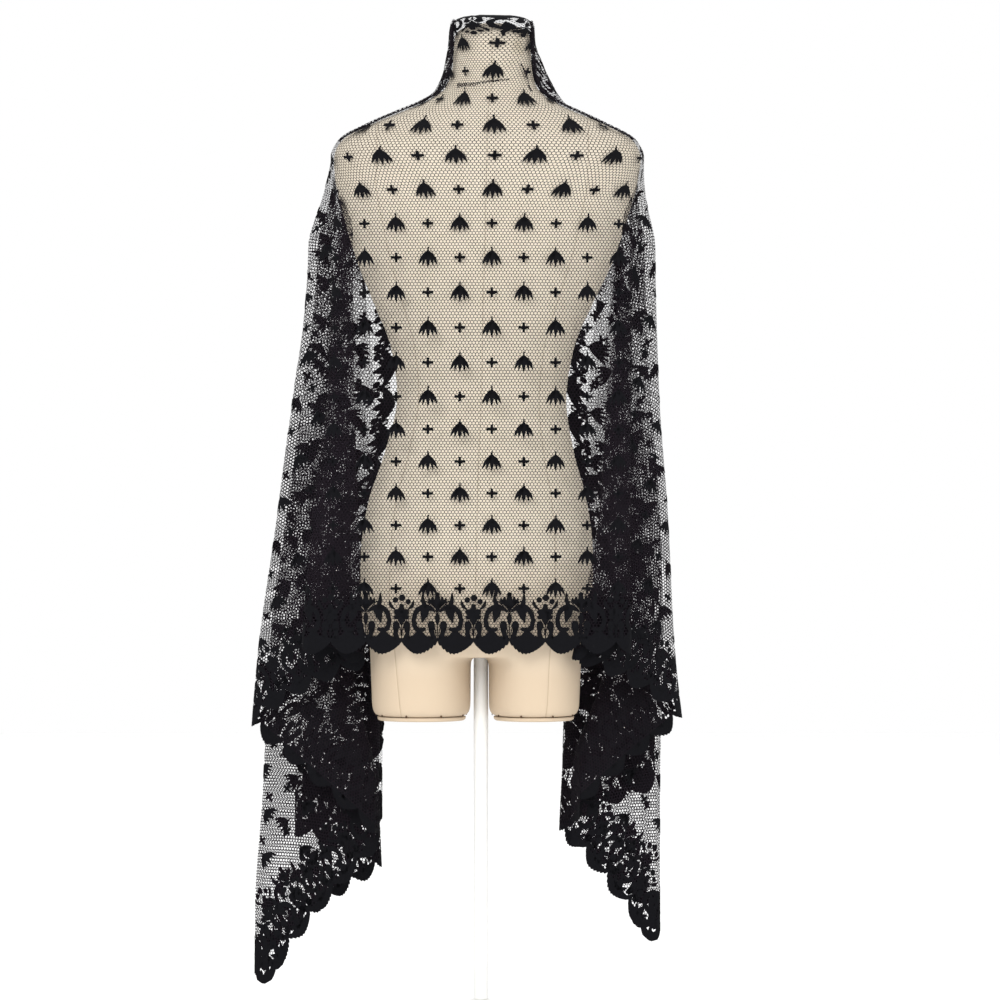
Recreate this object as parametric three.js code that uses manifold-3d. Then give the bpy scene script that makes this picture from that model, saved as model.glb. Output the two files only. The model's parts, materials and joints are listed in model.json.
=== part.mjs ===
// A lace shawl, a rectangle of net with a scalloped border on all four sides, worn over the
// shoulders of a limbless dress form on a plain stand. Millimetres, +Z up. The wearer's back
// faces -Y, and the floor under the stand is at the origin.
import * as THREE from "three";
import { mergeVertices } from "three/addons/utils/BufferGeometryUtils.js";
import Module from "manifold-3d";

// The flat cloth: s runs along the length from the centre back, t across from the top edge.
const shawlWidth = 862;
const halfLength = { left: 1025, right: 958 };
const borderWidth = 75;
const scallopPitch = 45;
const scallopDepth = 12;
const clothThickness = 1.2;

// Where the cloth turns over the shoulder: it hangs from this point in a fan of folds.
const shoulderHeight = 1106;
const shoulderS = 180;
const shoulderT = 238;
const collarRise = 1.23; // cloth used for each millimetre of height above the shoulder
const frontLag = 83; // how much later the top edge turns down than the shoulder point does
const foldsBegin = 130; // depth below the shoulder where the folds are fully formed
const foldRound = 17; // front to back size of the turn at a fold
const restGap = 1.5; // from the shape it hangs over to the middle of the cloth
const skinInset = 2.4; // how far the form's skin lies inside the shape that the cloth hangs over

// The folds of one side, from the centre back round to the front edge. "out" is the distance
// outwards from the centre plane and "deep" the place front to back, each at depths below the
// shoulder given in millimetres.
const foldDepths = [130, 300, 450, 620, 800, 950];
const folds = {
  left: [
    { name: "back_outer", out: [184, 190, 209, 222, 228, 232], deep: [-84, -94] },
    { name: "back_inner", out: [157, 155, 150, 142, 100, 95], deep: [-60, -72] },
    { name: "side_outer", out: [216, 232, 254, 279, 292, 294], deep: [-12, -16] },
    { name: "side_inner", out: [186, 166, 162, 160, 127, 122], deep: [22, 24] },
    { name: "tail_outer", out: [206, 225, 246, 268, 277, 287], deep: [44, 56] },
    { name: "tail_inner", out: [170, 148, 133, 126, 127, 122], deep: [74, 108] },
    { name: "front_first", out: [184, 205, 222, 234, 238, 238], deep: [95, 124] },
    { name: "front_second", out: [148, 134, 127, 124, 124, 122], deep: [114, 142] },
    { name: "front_third", out: [182, 194, 208, 222, 230, 232], deep: [130, 160] },
    { name: "front_edge", out: [106, 108, 126, 124, 124, 122], deep: [126, 178] },
  ],
  right: [
    { name: "back_outer", out: [188, 187, 186, 187, 190, 192], deep: [-84, -94] },
    { name: "back_inner", out: [174, 155, 145, 112, 70, 60], deep: [-60, -97] },
    { name: "side_outer", out: [218, 223, 234, 243, 262, 266], deep: [-12, -16] },
    { name: "side_inner", out: [186, 162, 158, 156, 102, 94], deep: [22, 24] },
    { name: "tail_outer", out: [206, 214, 226, 230, 227, 227], deep: [44, 56] },
    { name: "tail_inner", out: [168, 146, 130, 112, 99, 93], deep: [74, 108] },
    { name: "front_first", out: [180, 200, 216, 222, 222, 222], deep: [95, 124] },
    { name: "front_second", out: [148, 134, 120, 106, 100, 96], deep: [114, 142] },
    { name: "front_third", out: [178, 190, 206, 216, 222, 224], deep: [130, 160] },
    { name: "front_edge", out: [104, 106, 118, 108, 104, 98], deep: [126, 178] },
  ],
};

// Above the shoulder: how far along the cloth the ridge of the shoulder lies, the angle round
// the neck, from the side, at which the front edge passes, and how far the front stands off.
const yoke = [
  { depth: -193, ridge: 40, frontEnd: -6, left: 0, right: 0 },
  { depth: -130, ridge: 55, frontEnd: 42, left: 4, right: 3 },
  { depth: -100, ridge: 68, frontEnd: 56, left: 9, right: 14 },
  { depth: -68, ridge: 96, frontEnd: 60, left: 13, right: 23 },
  { depth: -40, ridge: 132, frontEnd: 58, left: 6, right: 7 },
  { depth: 0, ridge: 180, frontEnd: 54, left: 0, right: 0 },
];
const ridgeAngle = -8;

// The dress form's level sections: centre and half width along X, reach to the back and front.
const formSections = [
  { height: 384, centre: -5, half: 128, back: 84, front: 66, square: 2.3 },
  { height: 410, centre: -5, half: 132, back: 92, front: 72, square: 2.3 },
  { height: 470, centre: -6, half: 138, back: 110, front: 84, square: 2.3 },
  { height: 540, centre: -6, half: 148, back: 121, front: 92, square: 2.3 },
  { height: 600, centre: -5, half: 147, back: 121, front: 97, square: 2.3 },
  { height: 660, centre: -4, half: 139, back: 114, front: 98, square: 2.3 },
  { height: 720, centre: -2, half: 121, back: 98, front: 94, square: 2.25 },
  { height: 790, centre: 1, half: 108, back: 86, front: 90, square: 2.2 },
  { height: 850, centre: 2, half: 116, back: 92, front: 99, square: 2.25 },
  { height: 905, centre: 3, half: 138, back: 100, front: 111, square: 2.3 },
  { height: 960, centre: 5, half: 162, back: 105, front: 118, square: 2.4 },
  { height: 1010, centre: 6, half: 178, back: 107, front: 106, square: 2.5 },
  { height: 1060, centre: 7, half: 191, back: 106, front: 88, square: 2.6 },
  { height: 1090, centre: 8, half: 194, back: 101, front: 78, square: 2.6 },
  { height: 1110, centre: 8, half: 185, back: 95, front: 70, square: 2.5 },
  { height: 1128, centre: 8, half: 153, back: 87, front: 64, square: 2.3 },
  { height: 1143, centre: 9, half: 118, back: 79, front: 60, square: 2.2 },
  { height: 1158, centre: 11, half: 84, back: 68, front: 56, square: 2.1 },
  { height: 1175, centre: 13, half: 60, back: 58, front: 52, square: 2 },
  { height: 1200, centre: 14, half: 52, back: 52, front: 48, square: 2 },
  { height: 1240, centre: 14, half: 50, back: 50, front: 47, square: 2 },
];
const neckTop = 1240;
const neckDome = 20;
const crotchHeight = 468;
const thighs = [
  { name: "left", centre: -74, half: 61, back: 82, front: 64, tuck: 6 },
  { name: "right", centre: 66, half: 56, back: 80, front: 62, tuck: 6 },
];
const thighEnd = 388;
const thighCapThickness = 5;

// The stand that the photograph's view does not reach.
const poleRadius = 9;
const poleSocketDepth = 60;
const fitGap = 0.3; // all round, between pieces that fit together
const baseRadius = 175;
const baseThickness = 12;
const hubRadius = 24;
const hubHeight = 28;

const laceMaterial = new THREE.MeshStandardMaterial({ color: 0x141318, roughness: 0.9 });
const canvasMaterial = new THREE.MeshStandardMaterial({ color: 0xe6dcc8, roughness: 0.9 });
const standMaterial = new THREE.MeshStandardMaterial({
  color: 0xeeeeec,
  roughness: 0.4,
  metalness: 0.2,
});

const radians = Math.PI / 180;
const mix = (a, b, f) => a + (b - a) * f;
const clamp = (v, low, high) => Math.min(high, Math.max(low, v));
const ease = (f) => {
  const c = clamp(f, 0, 1);
  return c * c * (3 - 2 * c);
};

// A smooth curve through the values of one column of a table, by its knots.
function through(knots, values, x) {
  const last = knots.length - 1;
  if (x <= knots[0]) return values[0];
  if (x >= knots[last]) return values[last];
  let i = 0;
  while (x > knots[i + 1]) i += 1;
  const slope = (j) => {
    if (j === 0 || j === last) return 0;
    const before = (values[j] - values[j - 1]) / (knots[j] - knots[j - 1]);
    const after = (values[j + 1] - values[j]) / (knots[j + 1] - knots[j]);
    return before * after <= 0 ? 0 : (2 * before * after) / (before + after);
  };
  const width = knots[i + 1] - knots[i];
  const f = (x - knots[i]) / width;
  const f2 = f * f;
  const f3 = f2 * f;
  return (
    values[i] * (2 * f3 - 3 * f2 + 1) +
    slope(i) * width * (f3 - 2 * f2 + f) +
    values[i + 1] * (3 * f2 - 2 * f3) +
    slope(i + 1) * width * (f3 - f2)
  );
}

const column = (table, name) => table.map((row) => row[name]);
const formKnots = column(formSections, "height");
const formColumns = Object.fromEntries(
  ["centre", "half", "back", "front", "square"].map((n) => [n, column(formSections, n)]),
);
const yokeKnots = column(yoke, "depth");
const ridgeColumn = column(yoke, "ridge");
const frontEndColumn = column(yoke, "frontEnd");
const standColumn = { left: column(yoke, "left"), right: column(yoke, "right") };

// The form's section at a height; over the neck it closes in as a low dome.
function formAt(z) {
  const row = {};
  for (const [name, values] of Object.entries(formColumns))
    row[name] = through(formKnots, values, z);
  if (z > neckTop) {
    const share = clamp((z - neckTop) / neckDome, 0, 1);
    const shrink = Math.sqrt(1 - share * share);
    for (const name of ["half", "back", "front"]) row[name] *= shrink;
  }
  return row;
}

// A point on the form's section, moved out by a gap; angle 0 is the side and -90 the back.
function aroundForm(row, angle, gap) {
  const c = Math.cos(angle * radians);
  const s = Math.sin(angle * radians);
  const power = 2 / row.square;
  const reach = (s < 0 ? row.back : row.front) + gap;
  return [
    Math.sign(c) * (row.half + gap) * Math.abs(c) ** power,
    Math.sign(s) * reach * Math.abs(s) ** power,
  ];
}

// Moves a point of the cloth straight out of the form, to the rest gap from its skin.
function clearOfForm(x, y, z) {
  if (z > neckTop + neckDome - 1) return [x, y];
  const row = formAt(z);
  const reach = (y < 0 ? row.back : row.front) + restGap;
  const across = Math.abs(x - row.centre) / (row.half + restGap);
  const along = Math.abs(y) / reach;
  const level = (across ** row.square + along ** row.square) ** (1 / row.square);
  if (level >= 1 || level < 0.05) return [x, y];
  return [row.centre + (x - row.centre) / level, y / level];
}

// Height of the cloth at a depth below the shoulder; the collar lies over the neck's dome.
const domeDepth = shoulderHeight - neckTop - 2;
function heightAt(depth) {
  if (depth >= domeDepth) return shoulderHeight - depth;
  const share = (domeDepth - depth) / (domeDepth - yokeKnots[0]);
  return shoulderHeight - domeDepth + neckDome * Math.sin(share * 70 * radians) - 0.5;
}

const controlCount = 4 * 9 + 4;
const apexOf = (fold) => 3.5 + 4 * fold;
const lastControl = controlCount - 1;

// Control points of one side's level section in plan, as [outwards, front to back].
function foldControls(side, depth) {
  const at = (fold) => through(foldDepths, fold.out, depth);
  const turn = foldRound * clamp(depth / foldsBegin, 0.1, 1.25);
  const share = clamp((depth - foldsBegin) / (620 - foldsBegin), 0, 1);
  const deepAt = (fold) => mix(fold.deep[0], fold.deep[1], share);
  const backY = -mix(110, 125, clamp((depth - 90) / 420, 0, 1));
  const points = [[0, backY]];
  let from = [0, backY];
  folds[side].forEach((fold, i) => {
    const isEdge = i === folds[side].length - 1;
    const out = at(fold);
    const near = [out, deepAt(fold) - (isEdge ? 0 : turn / 2)];
    const lift = i === 0 ? 0.25 : 1 / 3;
    points.push([mix(from[0], near[0], 1 / 3), mix(from[1], near[1], lift * 0.5)]);
    points.push([mix(from[0], near[0], 2 / 3), mix(from[1], near[1], i === 0 ? 0.45 : 2 / 3)]);
    points.push(near);
    if (!isEdge) points.push([out, deepAt(fold) + turn / 2]);
    from = points[points.length - 1];
  });
  return points;
}

// The same controls laid along the form's own section, where the cloth lies on the shoulder.
function restingControls(side, depth, shares) {
  const z = heightAt(depth);
  const row = formAt(z);
  const end = through(yokeKnots, frontEndColumn, depth);
  const stand = through(yokeKnots, standColumn[side], depth);
  const sign = side === "left" ? -1 : 1;
  return shares.map((share) => {
    const behind = share <= 1;
    const angle = behind ? mix(-90, ridgeAngle, share) : mix(ridgeAngle, end, share - 1);
    const [x, y] = aroundForm(row, angle, restGap);
    const off = stand * ease((share - 1) / 0.45);
    return [x + sign * row.centre * Math.min(1, share * 1.5) + off, y + off * 0.3];
  });
}

const lengths = (points) => {
  const out = [0];
  for (let i = 1; i < points.length; i += 1)
    out.push(out[i - 1] + Math.hypot(points[i][0] - points[i - 1][0], points[i][1] - points[i - 1][1]));
  return out;
};

// Each control's place on the resting path: 0 to 1 behind the ridge, 1 to 2 in front of it.
const restShares = Object.fromEntries(
  ["left", "right"].map((side) => {
    const run = lengths(foldControls(side, foldsBegin));
    const ridge = (run[3] + run[4]) / 2;
    const total = run[run.length - 1];
    return [side, run.map((v) => (v <= ridge ? v / ridge : 1 + (v - ridge) / (total - ridge)))];
  }),
);

// A level section as a smooth curve: points, their places along it and their control numbers.
const samplesPerSpan = 6;
const sectionCache = new Map();
function sectionAt(side, depth) {
  const key = side + depth.toFixed(3);
  if (sectionCache.has(key)) return sectionCache.get(key);
  const formed = ease(depth / foldsBegin);
  const folded = formed > 0 ? foldControls(side, Math.max(depth, foldsBegin)) : null;
  const resting = formed < 1 ? restingControls(side, depth, restShares[side]) : null;
  const controls = restShares[side].map((_, i) => {
    if (!folded) return resting[i];
    if (!resting) return folded[i];
    return [mix(resting[i][0], folded[i][0], formed), mix(resting[i][1], folded[i][1], formed)];
  });
  const first = controls[0];
  const last = controls[lastControl];
  const control = (i) => {
    if (i < 0) return [-controls[-i][0], controls[-i][1]];
    if (i > lastControl)
      return [0, 1].map((axis) => 2 * last[axis] - controls[2 * lastControl - i][axis]);
    return controls[i];
  };
  const points = [];
  const marks = [];
  for (let i = 0; i <= lastControl * samplesPerSpan; i += 1) {
    const mark = i / samplesPerSpan;
    const base = Math.min(Math.floor(mark), lastControl - 1);
    const f = mark - base;
    const weights = [
      (1 - f) ** 3 / 6,
      (3 * f ** 3 - 6 * f * f + 4) / 6,
      (-3 * f ** 3 + 3 * f * f + 3 * f + 1) / 6,
      f ** 3 / 6,
    ];
    const at = [0, 1].map((axis) =>
      weights.reduce((sum, w, k) => sum + w * control(base - 1 + k)[axis], 0),
    );
    points.push(i === 0 ? [0, at[1]] : at);
    marks.push(mark);
  }
  const run = lengths(points);
  const ridgeRun = run[Math.round(3.5 * samplesPerSpan)];
  const total = run[run.length - 1];
  const cloth = clothAlong(depth);
  const restRidge = through(yokeKnots, ridgeColumn, Math.min(depth, 0));
  const ridge = mix(restRidge, ridgeRun * 1.02, formed);
  const made = { points, marks, run, ridgeRun, total, ridge, cloth, first };
  sectionCache.set(key, made);
  return made;
}

// Cloth along a level line, from the centre back to the front edge.
function clothAlong(depth) {
  if (depth >= 0) return shoulderS + (depth * Math.PI) / 2 + shoulderT;
  return through(yokeKnots, ridgeColumn, depth) + shoulderT + collarRise * depth;
}

// Place along the section's own curve from the place along the cloth, and back.
function runOfCloth(section, along) {
  if (along <= section.ridge) return (along / section.ridge) * section.ridgeRun;
  const share = (along - section.ridge) / (section.cloth - section.ridge);
  return mix(section.ridgeRun, section.total, share);
}
function clothOfRun(section, run) {
  if (run <= section.ridgeRun) return (run / section.ridgeRun) * section.ridge;
  const share = (run - section.ridgeRun) / (section.total - section.ridgeRun);
  return mix(section.ridge, section.cloth, share);
}
function interpolate(knots, x) {
  const last = knots.length - 1;
  if (x >= knots[last]) return [last - 1, 1];
  let low = 0;
  let high = last;
  while (high - low > 1) {
    const middle = (low + high) >> 1;
    if (knots[middle] <= x) low = middle;
    else high = middle;
  }
  return [low, clamp((x - knots[low]) / (knots[high] - knots[low] || 1), 0, 1)];
}
function markOfCloth(section, along) {
  const [i, f] = interpolate(section.run, runOfCloth(section, along));
  return mix(section.marks[i], section.marks[i + 1], f);
}
function clothOfMark(section, mark) {
  const [i, f] = interpolate(section.marks, mark);
  return clothOfRun(section, mix(section.run[i], section.run[i + 1], f));
}

// The flat cloth's place for a depth and a place along the level line, and the way back.
const lagAt = (t) => shoulderS + frontLag * (1 - t / shoulderT);
function flatOf(depth, along) {
  if (depth >= 0) {
    if (along <= shoulderS) return [along, shoulderT + depth];
    const arc = along - shoulderS;
    if (arc <= (depth * Math.PI) / 2) {
      const turned = arc / depth;
      return [shoulderS + depth * Math.sin(turned), shoulderT + depth * Math.cos(turned)];
    }
    const t = shoulderT - (arc - (depth * Math.PI) / 2);
    return [lagAt(t) + depth, t];
  }
  const ridge = through(yokeKnots, ridgeColumn, depth);
  const t = shoulderT + collarRise * depth;
  if (along <= ridge) return [along, t];
  const share = (along - ridge) / t;
  return [mix(ridge, edgeAt(depth), share), t * (1 - share)];
}
const edgeAt = (depth) => mix(shoulderS + frontLag, ridgeColumn[0], depth / yokeKnots[0]);
function levelOf(s, t) {
  if (t >= shoulderT) {
    const past = s - shoulderS;
    if (past <= 0) return [t - shoulderT, s];
    const depth = Math.hypot(past, t - shoulderT);
    return [depth, shoulderS + depth * Math.atan2(past, t - shoulderT)];
  }
  const lag = lagAt(t);
  if (s >= lag) {
    const depth = s - lag;
    return [depth, shoulderS + (depth * Math.PI) / 2 + shoulderT - t];
  }
  const backDepth = (t - shoulderT) / collarRise;
  if (s <= through(yokeKnots, ridgeColumn, backDepth)) return [backDepth, s];
  let low = backDepth;
  let high = 0;
  for (let i = 0; i < 40; i += 1) {
    const depth = (low + high) / 2;
    const ridge = through(yokeKnots, ridgeColumn, depth);
    const share = 1 - t / (shoulderT + collarRise * depth);
    if (mix(ridge, edgeAt(depth), share) < s) low = depth;
    else high = depth;
  }
  const depth = (low + high) / 2;
  const full = shoulderT + collarRise * depth;
  return [depth, through(yokeKnots, ridgeColumn, depth) + full - t];
}

// A point of the worn cloth from its flat place; s is negative on the left.
function worn(s, t) {
  const side = s < 0 ? "left" : "right";
  const [depth, along] = levelOf(Math.abs(s), t);
  const section = sectionAt(side, depth);
  const [i, f] = interpolate(section.run, runOfCloth(section, along));
  const out = mix(section.points[i][0], section.points[i + 1][0], f);
  const deep = mix(section.points[i][1], section.points[i + 1][1], f);
  const z = heightAt(depth);
  const [x, y] = clearOfForm(side === "left" ? -out : out, deep, z);
  return new THREE.Vector3(x, y, z);
}
function wornNormal(s, t) {
  const step = 2.5;
  const alongS = worn(s + step, t).sub(worn(s - step, t));
  const alongT = worn(s, t + step).sub(worn(s, Math.max(t - step, 0)));
  return alongT.cross(alongS).normalize();
}

// A closed wall from flat triangles, half its thickness to each side of the worn surface.
function clothWall(flatPoints, triangles) {
  const outer = [];
  const inner = [];
  for (const [s, t] of flatPoints) {
    const p = worn(s, t);
    const n = wornNormal(s, t).multiplyScalar(clothThickness / 2);
    outer.push(p.clone().add(n));
    inner.push(p.clone().sub(n));
  }
  const positions = [...outer, ...inner].flatMap((p) => [p.x, p.y, p.z]);
  const count = flatPoints.length;
  const index = [];
  const edges = new Map();
  for (const [a, b, c] of triangles) {
    index.push(a, b, c, a + count, c + count, b + count);
    for (const [from, to] of [[a, b], [b, c], [c, a]]) {
      if (!edges.delete(`${to},${from}`)) edges.set(`${from},${to}`, [from, to]);
    }
  }
  for (const [from, to] of edges.values())
    index.push(to, from, from + count, to, from + count, to + count);
  const geometry = new THREE.BufferGeometry();
  geometry.setAttribute("position", new THREE.Float32BufferAttribute(positions, 3));
  geometry.setIndex(index);
  return geometry;
}

// The flat points of the whole cloth, numbered as they are first met, and its triangles.
const flatPoints = [];
const numberAt = new Map();
function numberOf([s, t]) {
  const key = `${s.toFixed(3)} ${t.toFixed(3)}`;
  if (!numberAt.has(key)) {
    numberAt.set(key, flatPoints.length);
    flatPoints.push([s, t]);
  }
  return numberAt.get(key);
}
const flatTriangles = [];
function flatArea([p, q, r]) {
  return (q[0] - p[0]) * (r[1] - p[1]) - (r[0] - p[0]) * (q[1] - p[1]);
}

// Adds one flat triangle, always the same way round, so that the wall faces out.
function addTriangle(p, q, r) {
  const [a, b, c] = [p, q, r].map(numberOf);
  if (a === b || b === c || a === c) return;
  flatTriangles.push(flatArea([p, q, r]) < 0 ? [a, b, c] : [a, c, b]);
}

// Triangles between two lines of flat points, taken in step by their keys.
function addBetween(lineA, keysA, lineB, keysB) {
  let a = 0;
  let b = 0;
  while (a < lineA.length - 1 || b < lineB.length - 1) {
    const moveA =
      b === lineB.length - 1 || (a < lineA.length - 1 && keysA[a + 1] <= keysB[b + 1]);
    addTriangle(lineA[a], lineB[b], moveA ? lineA[a + 1] : lineB[b + 1]);
    if (moveA) a += 1;
    else b += 1;
  }
}

// Triangles of the cells between two lines with the same number of points. Each cell is split
// the way that leaves its smaller triangle larger.
function addCells(lineA, lineB) {
  const least = (pair) => Math.min(...pair.map((triangle) => Math.abs(flatArea(triangle))));
  for (let i = 0; i < lineA.length - 1; i += 1) {
    const [a, b, c, d] = [lineA[i], lineB[i], lineB[i + 1], lineA[i + 1]];
    const oneWay = [[a, b, c], [a, c, d]];
    const otherWay = [[a, b, d], [b, c, d]];
    for (const triangle of least(oneWay) >= least(otherWay) ? oneWay : otherWay)
      addTriangle(...triangle);
  }
}

// The net's own columns, numbered along the section's control points.
const columnsBefore = [0, 0.6, 1.2, 1.8, 2.4];
const columnMarks = [...columnsBefore];
for (let fold = 0; fold < 9; fold += 1)
  for (const offset of [-0.8, 0, 0.8, 2]) columnMarks.push(apexOf(fold) + offset);
columnMarks.push(lastControl);
const lastColumn = columnMarks.length - 1;
const squeezeFrom = columnMarks.length - 8;

const columnsFixed = 60;
function columnMark(side, j, depth) {
  const section = sectionAt(side, depth);
  const edge = markOfCloth(section, section.cloth - borderWidth);
  if (depth >= columnsFixed) {
    if (j <= squeezeFrom) return columnMarks[j];
    const start = columnMarks[squeezeFrom];
    const share = (columnMarks[j] - start) / (lastControl - start);
    return mix(start, Math.max(edge, start + 0.5), share);
  }
  const fixed = sectionAt(side, columnsFixed);
  const along = clothOfMark(fixed, columnMark(side, j, columnsFixed));
  const share = along / (fixed.cloth - borderWidth);
  return markOfCloth(section, share * (section.cloth - borderWidth));
}
function flatAt(side, j, depth) {
  const section = sectionAt(side, depth);
  return flatOf(depth, clothOfMark(section, columnMark(side, j, depth)));
}

// Depth at which a column meets the inside of the hem or end border.
function columnFoot(side, j) {
  let low = foldsBegin;
  let high = 1100;
  for (let i = 0; i < 40; i += 1) {
    const depth = (low + high) / 2;
    const [s, t] = flatAt(side, j, depth);
    const past = Math.max(s - (halfLength[side] - borderWidth), t - (shawlWidth - borderWidth));
    if (past < 0) low = depth;
    else high = depth;
  }
  return (low + high) / 2;
}

const topDepth = (borderWidth - shoulderT) / collarRise;
const upperRows = [topDepth, -104, -78, -58, -40, -24, -8, 10, 34, 62, 95, foldsBegin];
const lowerRows = [0.18, 0.38, 0.58, 0.79, 1];

// The corner where hem and end border meet gets the nearest column.
const corner = {};
const grids = {};
for (const side of ["left", "right"]) {
  const feet = columnMarks.map((_, j) => columnFoot(side, j));
  const grid = columnMarks.map((_, j) => {
    const depths = [...upperRows, ...lowerRows.map((f) => mix(foldsBegin, feet[j], f))];
    return depths.map((depth) => flatAt(side, j, depth));
  });
  const foot = grid[0].length - 1;
  const innerCorner = [halfLength[side] - borderWidth, shawlWidth - borderWidth];
  let best = 0;
  grid.forEach((columnPoints, j) => {
    const d = (k) => Math.hypot(grid[k][foot][0] - innerCorner[0], grid[k][foot][1] - innerCorner[1]);
    if (columnPoints && d(j) < d(best)) best = j;
  });
  grid[best][foot] = innerCorner;
  for (let j = 0; j < grid.length; j += 1) {
    const point = grid[j][foot];
    if (j < best) point[1] = shawlWidth - borderWidth;
    if (j > best) point[0] = halfLength[side] - borderWidth;
  }
  for (const columnPoints of grid) columnPoints[0][1] = borderWidth;
  for (const point of grid[grid.length - 1]) point[1] = borderWidth;
  corner[side] = best;
  grids[side] = grid;
}

// The net, column by column from the left front edge round the back to the right.
const netColumns = [
  ...grids.left.slice(1).reverse().map((list) => list.map(([s, t]) => [-s, t])),
  ...grids.right,
];
for (let j = 0; j < netColumns.length - 1; j += 1) addCells(netColumns[j], netColumns[j + 1]);

function named(name, geometry, material) {
  const mesh = new THREE.Mesh(geometry, material);
  mesh.name = name;
  return mesh;
}

// How far the scalloped edge falls back from the cloth's full size.
const notch = (along) => scallopDepth * (1 - Math.abs(Math.sin((Math.PI * along) / scallopPitch)) ** 0.7);
const edgeStep = scallopPitch / 4;
const straightInset = scallopDepth + 3;
const cornerInset = 5;
function steps(from, to) {
  const count = Math.max(1, Math.round(Math.abs(to - from) / edgeStep));
  return Array.from({ length: count + 1 }, (_, i) => mix(from, to, i / count));
}
function controlOf(s, t) {
  const [depth, along] = levelOf(Math.abs(s), t);
  return Math.sign(s) * markOfCloth(sectionAt(s < 0 ? "left" : "right", depth), along);
}

// One length of border: from the net's edge through straight lines to the scallops. All lines
// but the first have the same number of points.
function addBorder(innerLine, lines, keyOf) {
  const keysOf = (line) => {
    let reach = -Infinity;
    return line.map(([s, t]) => {
      reach = Math.max(reach, keyOf(s, t));
      return reach;
    });
  };
  addBetween(innerLine, keysOf(innerLine), lines[0], keysOf(lines[0]));
  for (let i = 0; i < lines.length - 1; i += 1) addCells(lines[i], lines[i + 1]);
}

const range = (from, to) => Array.from({ length: to - from + 1 }, (_, i) => from + i);
const netHem = shawlWidth - borderWidth;
const hemInsets = [straightInset, 0];
const topInsets = [48, straightInset, 0];
const hemPoint = (s, inset) => [s, shawlWidth - (inset || notch(s))];
const topPoint = (s, inset) => [s, inset || notch(s)];
for (const side of ["left", "right"]) {
  const sign = side === "left" ? -1 : 1;
  const inner = halfLength[side] - borderWidth;
  const footOf = (j) => grids[side][j][grids[side][j].length - 1];
  const hemSteps = steps(0, inner).map((s) => sign * s);
  addBorder(
    range(0, corner[side]).map((j) => [sign * footOf(j)[0], netHem]),
    hemInsets.map((inset) => hemSteps.map((s) => hemPoint(s, inset))),
    (s, t) => Math.abs(controlOf(s, t)),
  );

  // The end border runs the whole width, past both corners.
  const endSteps = steps(shawlWidth - cornerInset, cornerInset);
  const endEdge = endSteps.map((t, i) => {
    const isCorner = i === 0 || i === endSteps.length - 1;
    return [sign * (halfLength[side] - (isCorner ? cornerInset : notch(t))), t];
  });
  addBorder(
    [
      hemPoint(sign * inner, 0),
      hemPoint(sign * inner, straightInset),
      ...range(corner[side], lastColumn).map((j) => [sign * inner, footOf(j)[1]]),
      [sign * inner, topInsets[0]],
      topPoint(sign * inner, straightInset),
      topPoint(sign * inner, 0),
    ],
    [endSteps.map((t) => [sign * (halfLength[side] - straightInset), t]), endEdge],
    (s, t) => shawlWidth - t,
  );

  // The top border: half the collar behind the neck, then down the front edge.
  const headLine = grids[side].map((list) => list[0][0]);
  const frontLine = grids[side][lastColumn].slice(1).map(([s]) => s);
  const topSteps = steps(0, inner).map((s) => sign * s);
  addBorder(
    [...headLine, ...frontLine].map((s) => [sign * s, borderWidth]),
    topInsets.map((inset) => topSteps.map((s) => topPoint(s, inset))),
    (s) => Math.abs(s),
  );
}

const group = new THREE.Group();
group.add(named("shawl", clothWall(flatPoints, flatTriangles), laceMaterial));

// A closed loft through level rings; each ring is a list of points.
function loft(rings) {
  const around = rings[0].length;
  const positions = rings.flat(2);
  const index = [];
  for (let i = 0; i < rings.length - 1; i += 1)
    for (let k = 0; k < around; k += 1) {
      const a = i * around + k;
      const b = i * around + ((k + 1) % around);
      index.push(a, b, b + around, a, b + around, a + around);
    }
  const centreOf = (ring) => [0, 1, 2].map((axis) => ring.reduce((sum, p) => sum + p[axis], 0) / around);
  const low = positions.length / 3;
  positions.push(...centreOf(rings[0]), ...centreOf(rings[rings.length - 1]));
  const top = (rings.length - 1) * around;
  for (let k = 0; k < around; k += 1) {
    const next = (k + 1) % around;
    index.push(low, next, k, low + 1, top + k, top + next);
  }
  const geometry = new THREE.BufferGeometry();
  geometry.setAttribute("position", new THREE.Float32BufferAttribute(positions, 3));
  geometry.setIndex(index);
  return geometry;
}

function ringOf(row, z, count) {
  return Array.from({ length: count }, (_, k) => {
    const [x, y] = aroundForm(row, (360 * k) / count, 0);
    return [row.centre + x, y, z];
  });
}

const formSides = 36;
const insetRow = (row, scale) => ({
  ...row,
  half: (row.half - skinInset) * scale,
  back: (row.back - skinInset) * scale,
  front: (row.front - skinInset) * scale,
});
function torsoGeometry() {
  const heights = [crotchHeight, 476, 500];
  for (let z = 545; z <= 1070; z += 52.5) heights.push(z);
  heights.push(1088, 1102, 1114, 1126, 1138, 1150, 1162, 1178, 1200, neckTop - 1);
  const rings = heights.map((z) => {
    const row = formAt(z);
    const under = z < 500 ? mix(0.86, 1, ease((z - crotchHeight) / 32)) : 1;
    return ringOf(insetRow(row, under), z, formSides);
  });
  for (const share of [0.35, 0.62, 0.84, 0.97]) {
    const shrink = Math.sqrt(1 - share * share);
    const z = neckTop + (neckDome - skinInset) * share;
    rings.push(ringOf(insetRow(formAt(neckTop), shrink), z, formSides));
  }
  return loft(rings);
}
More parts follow.
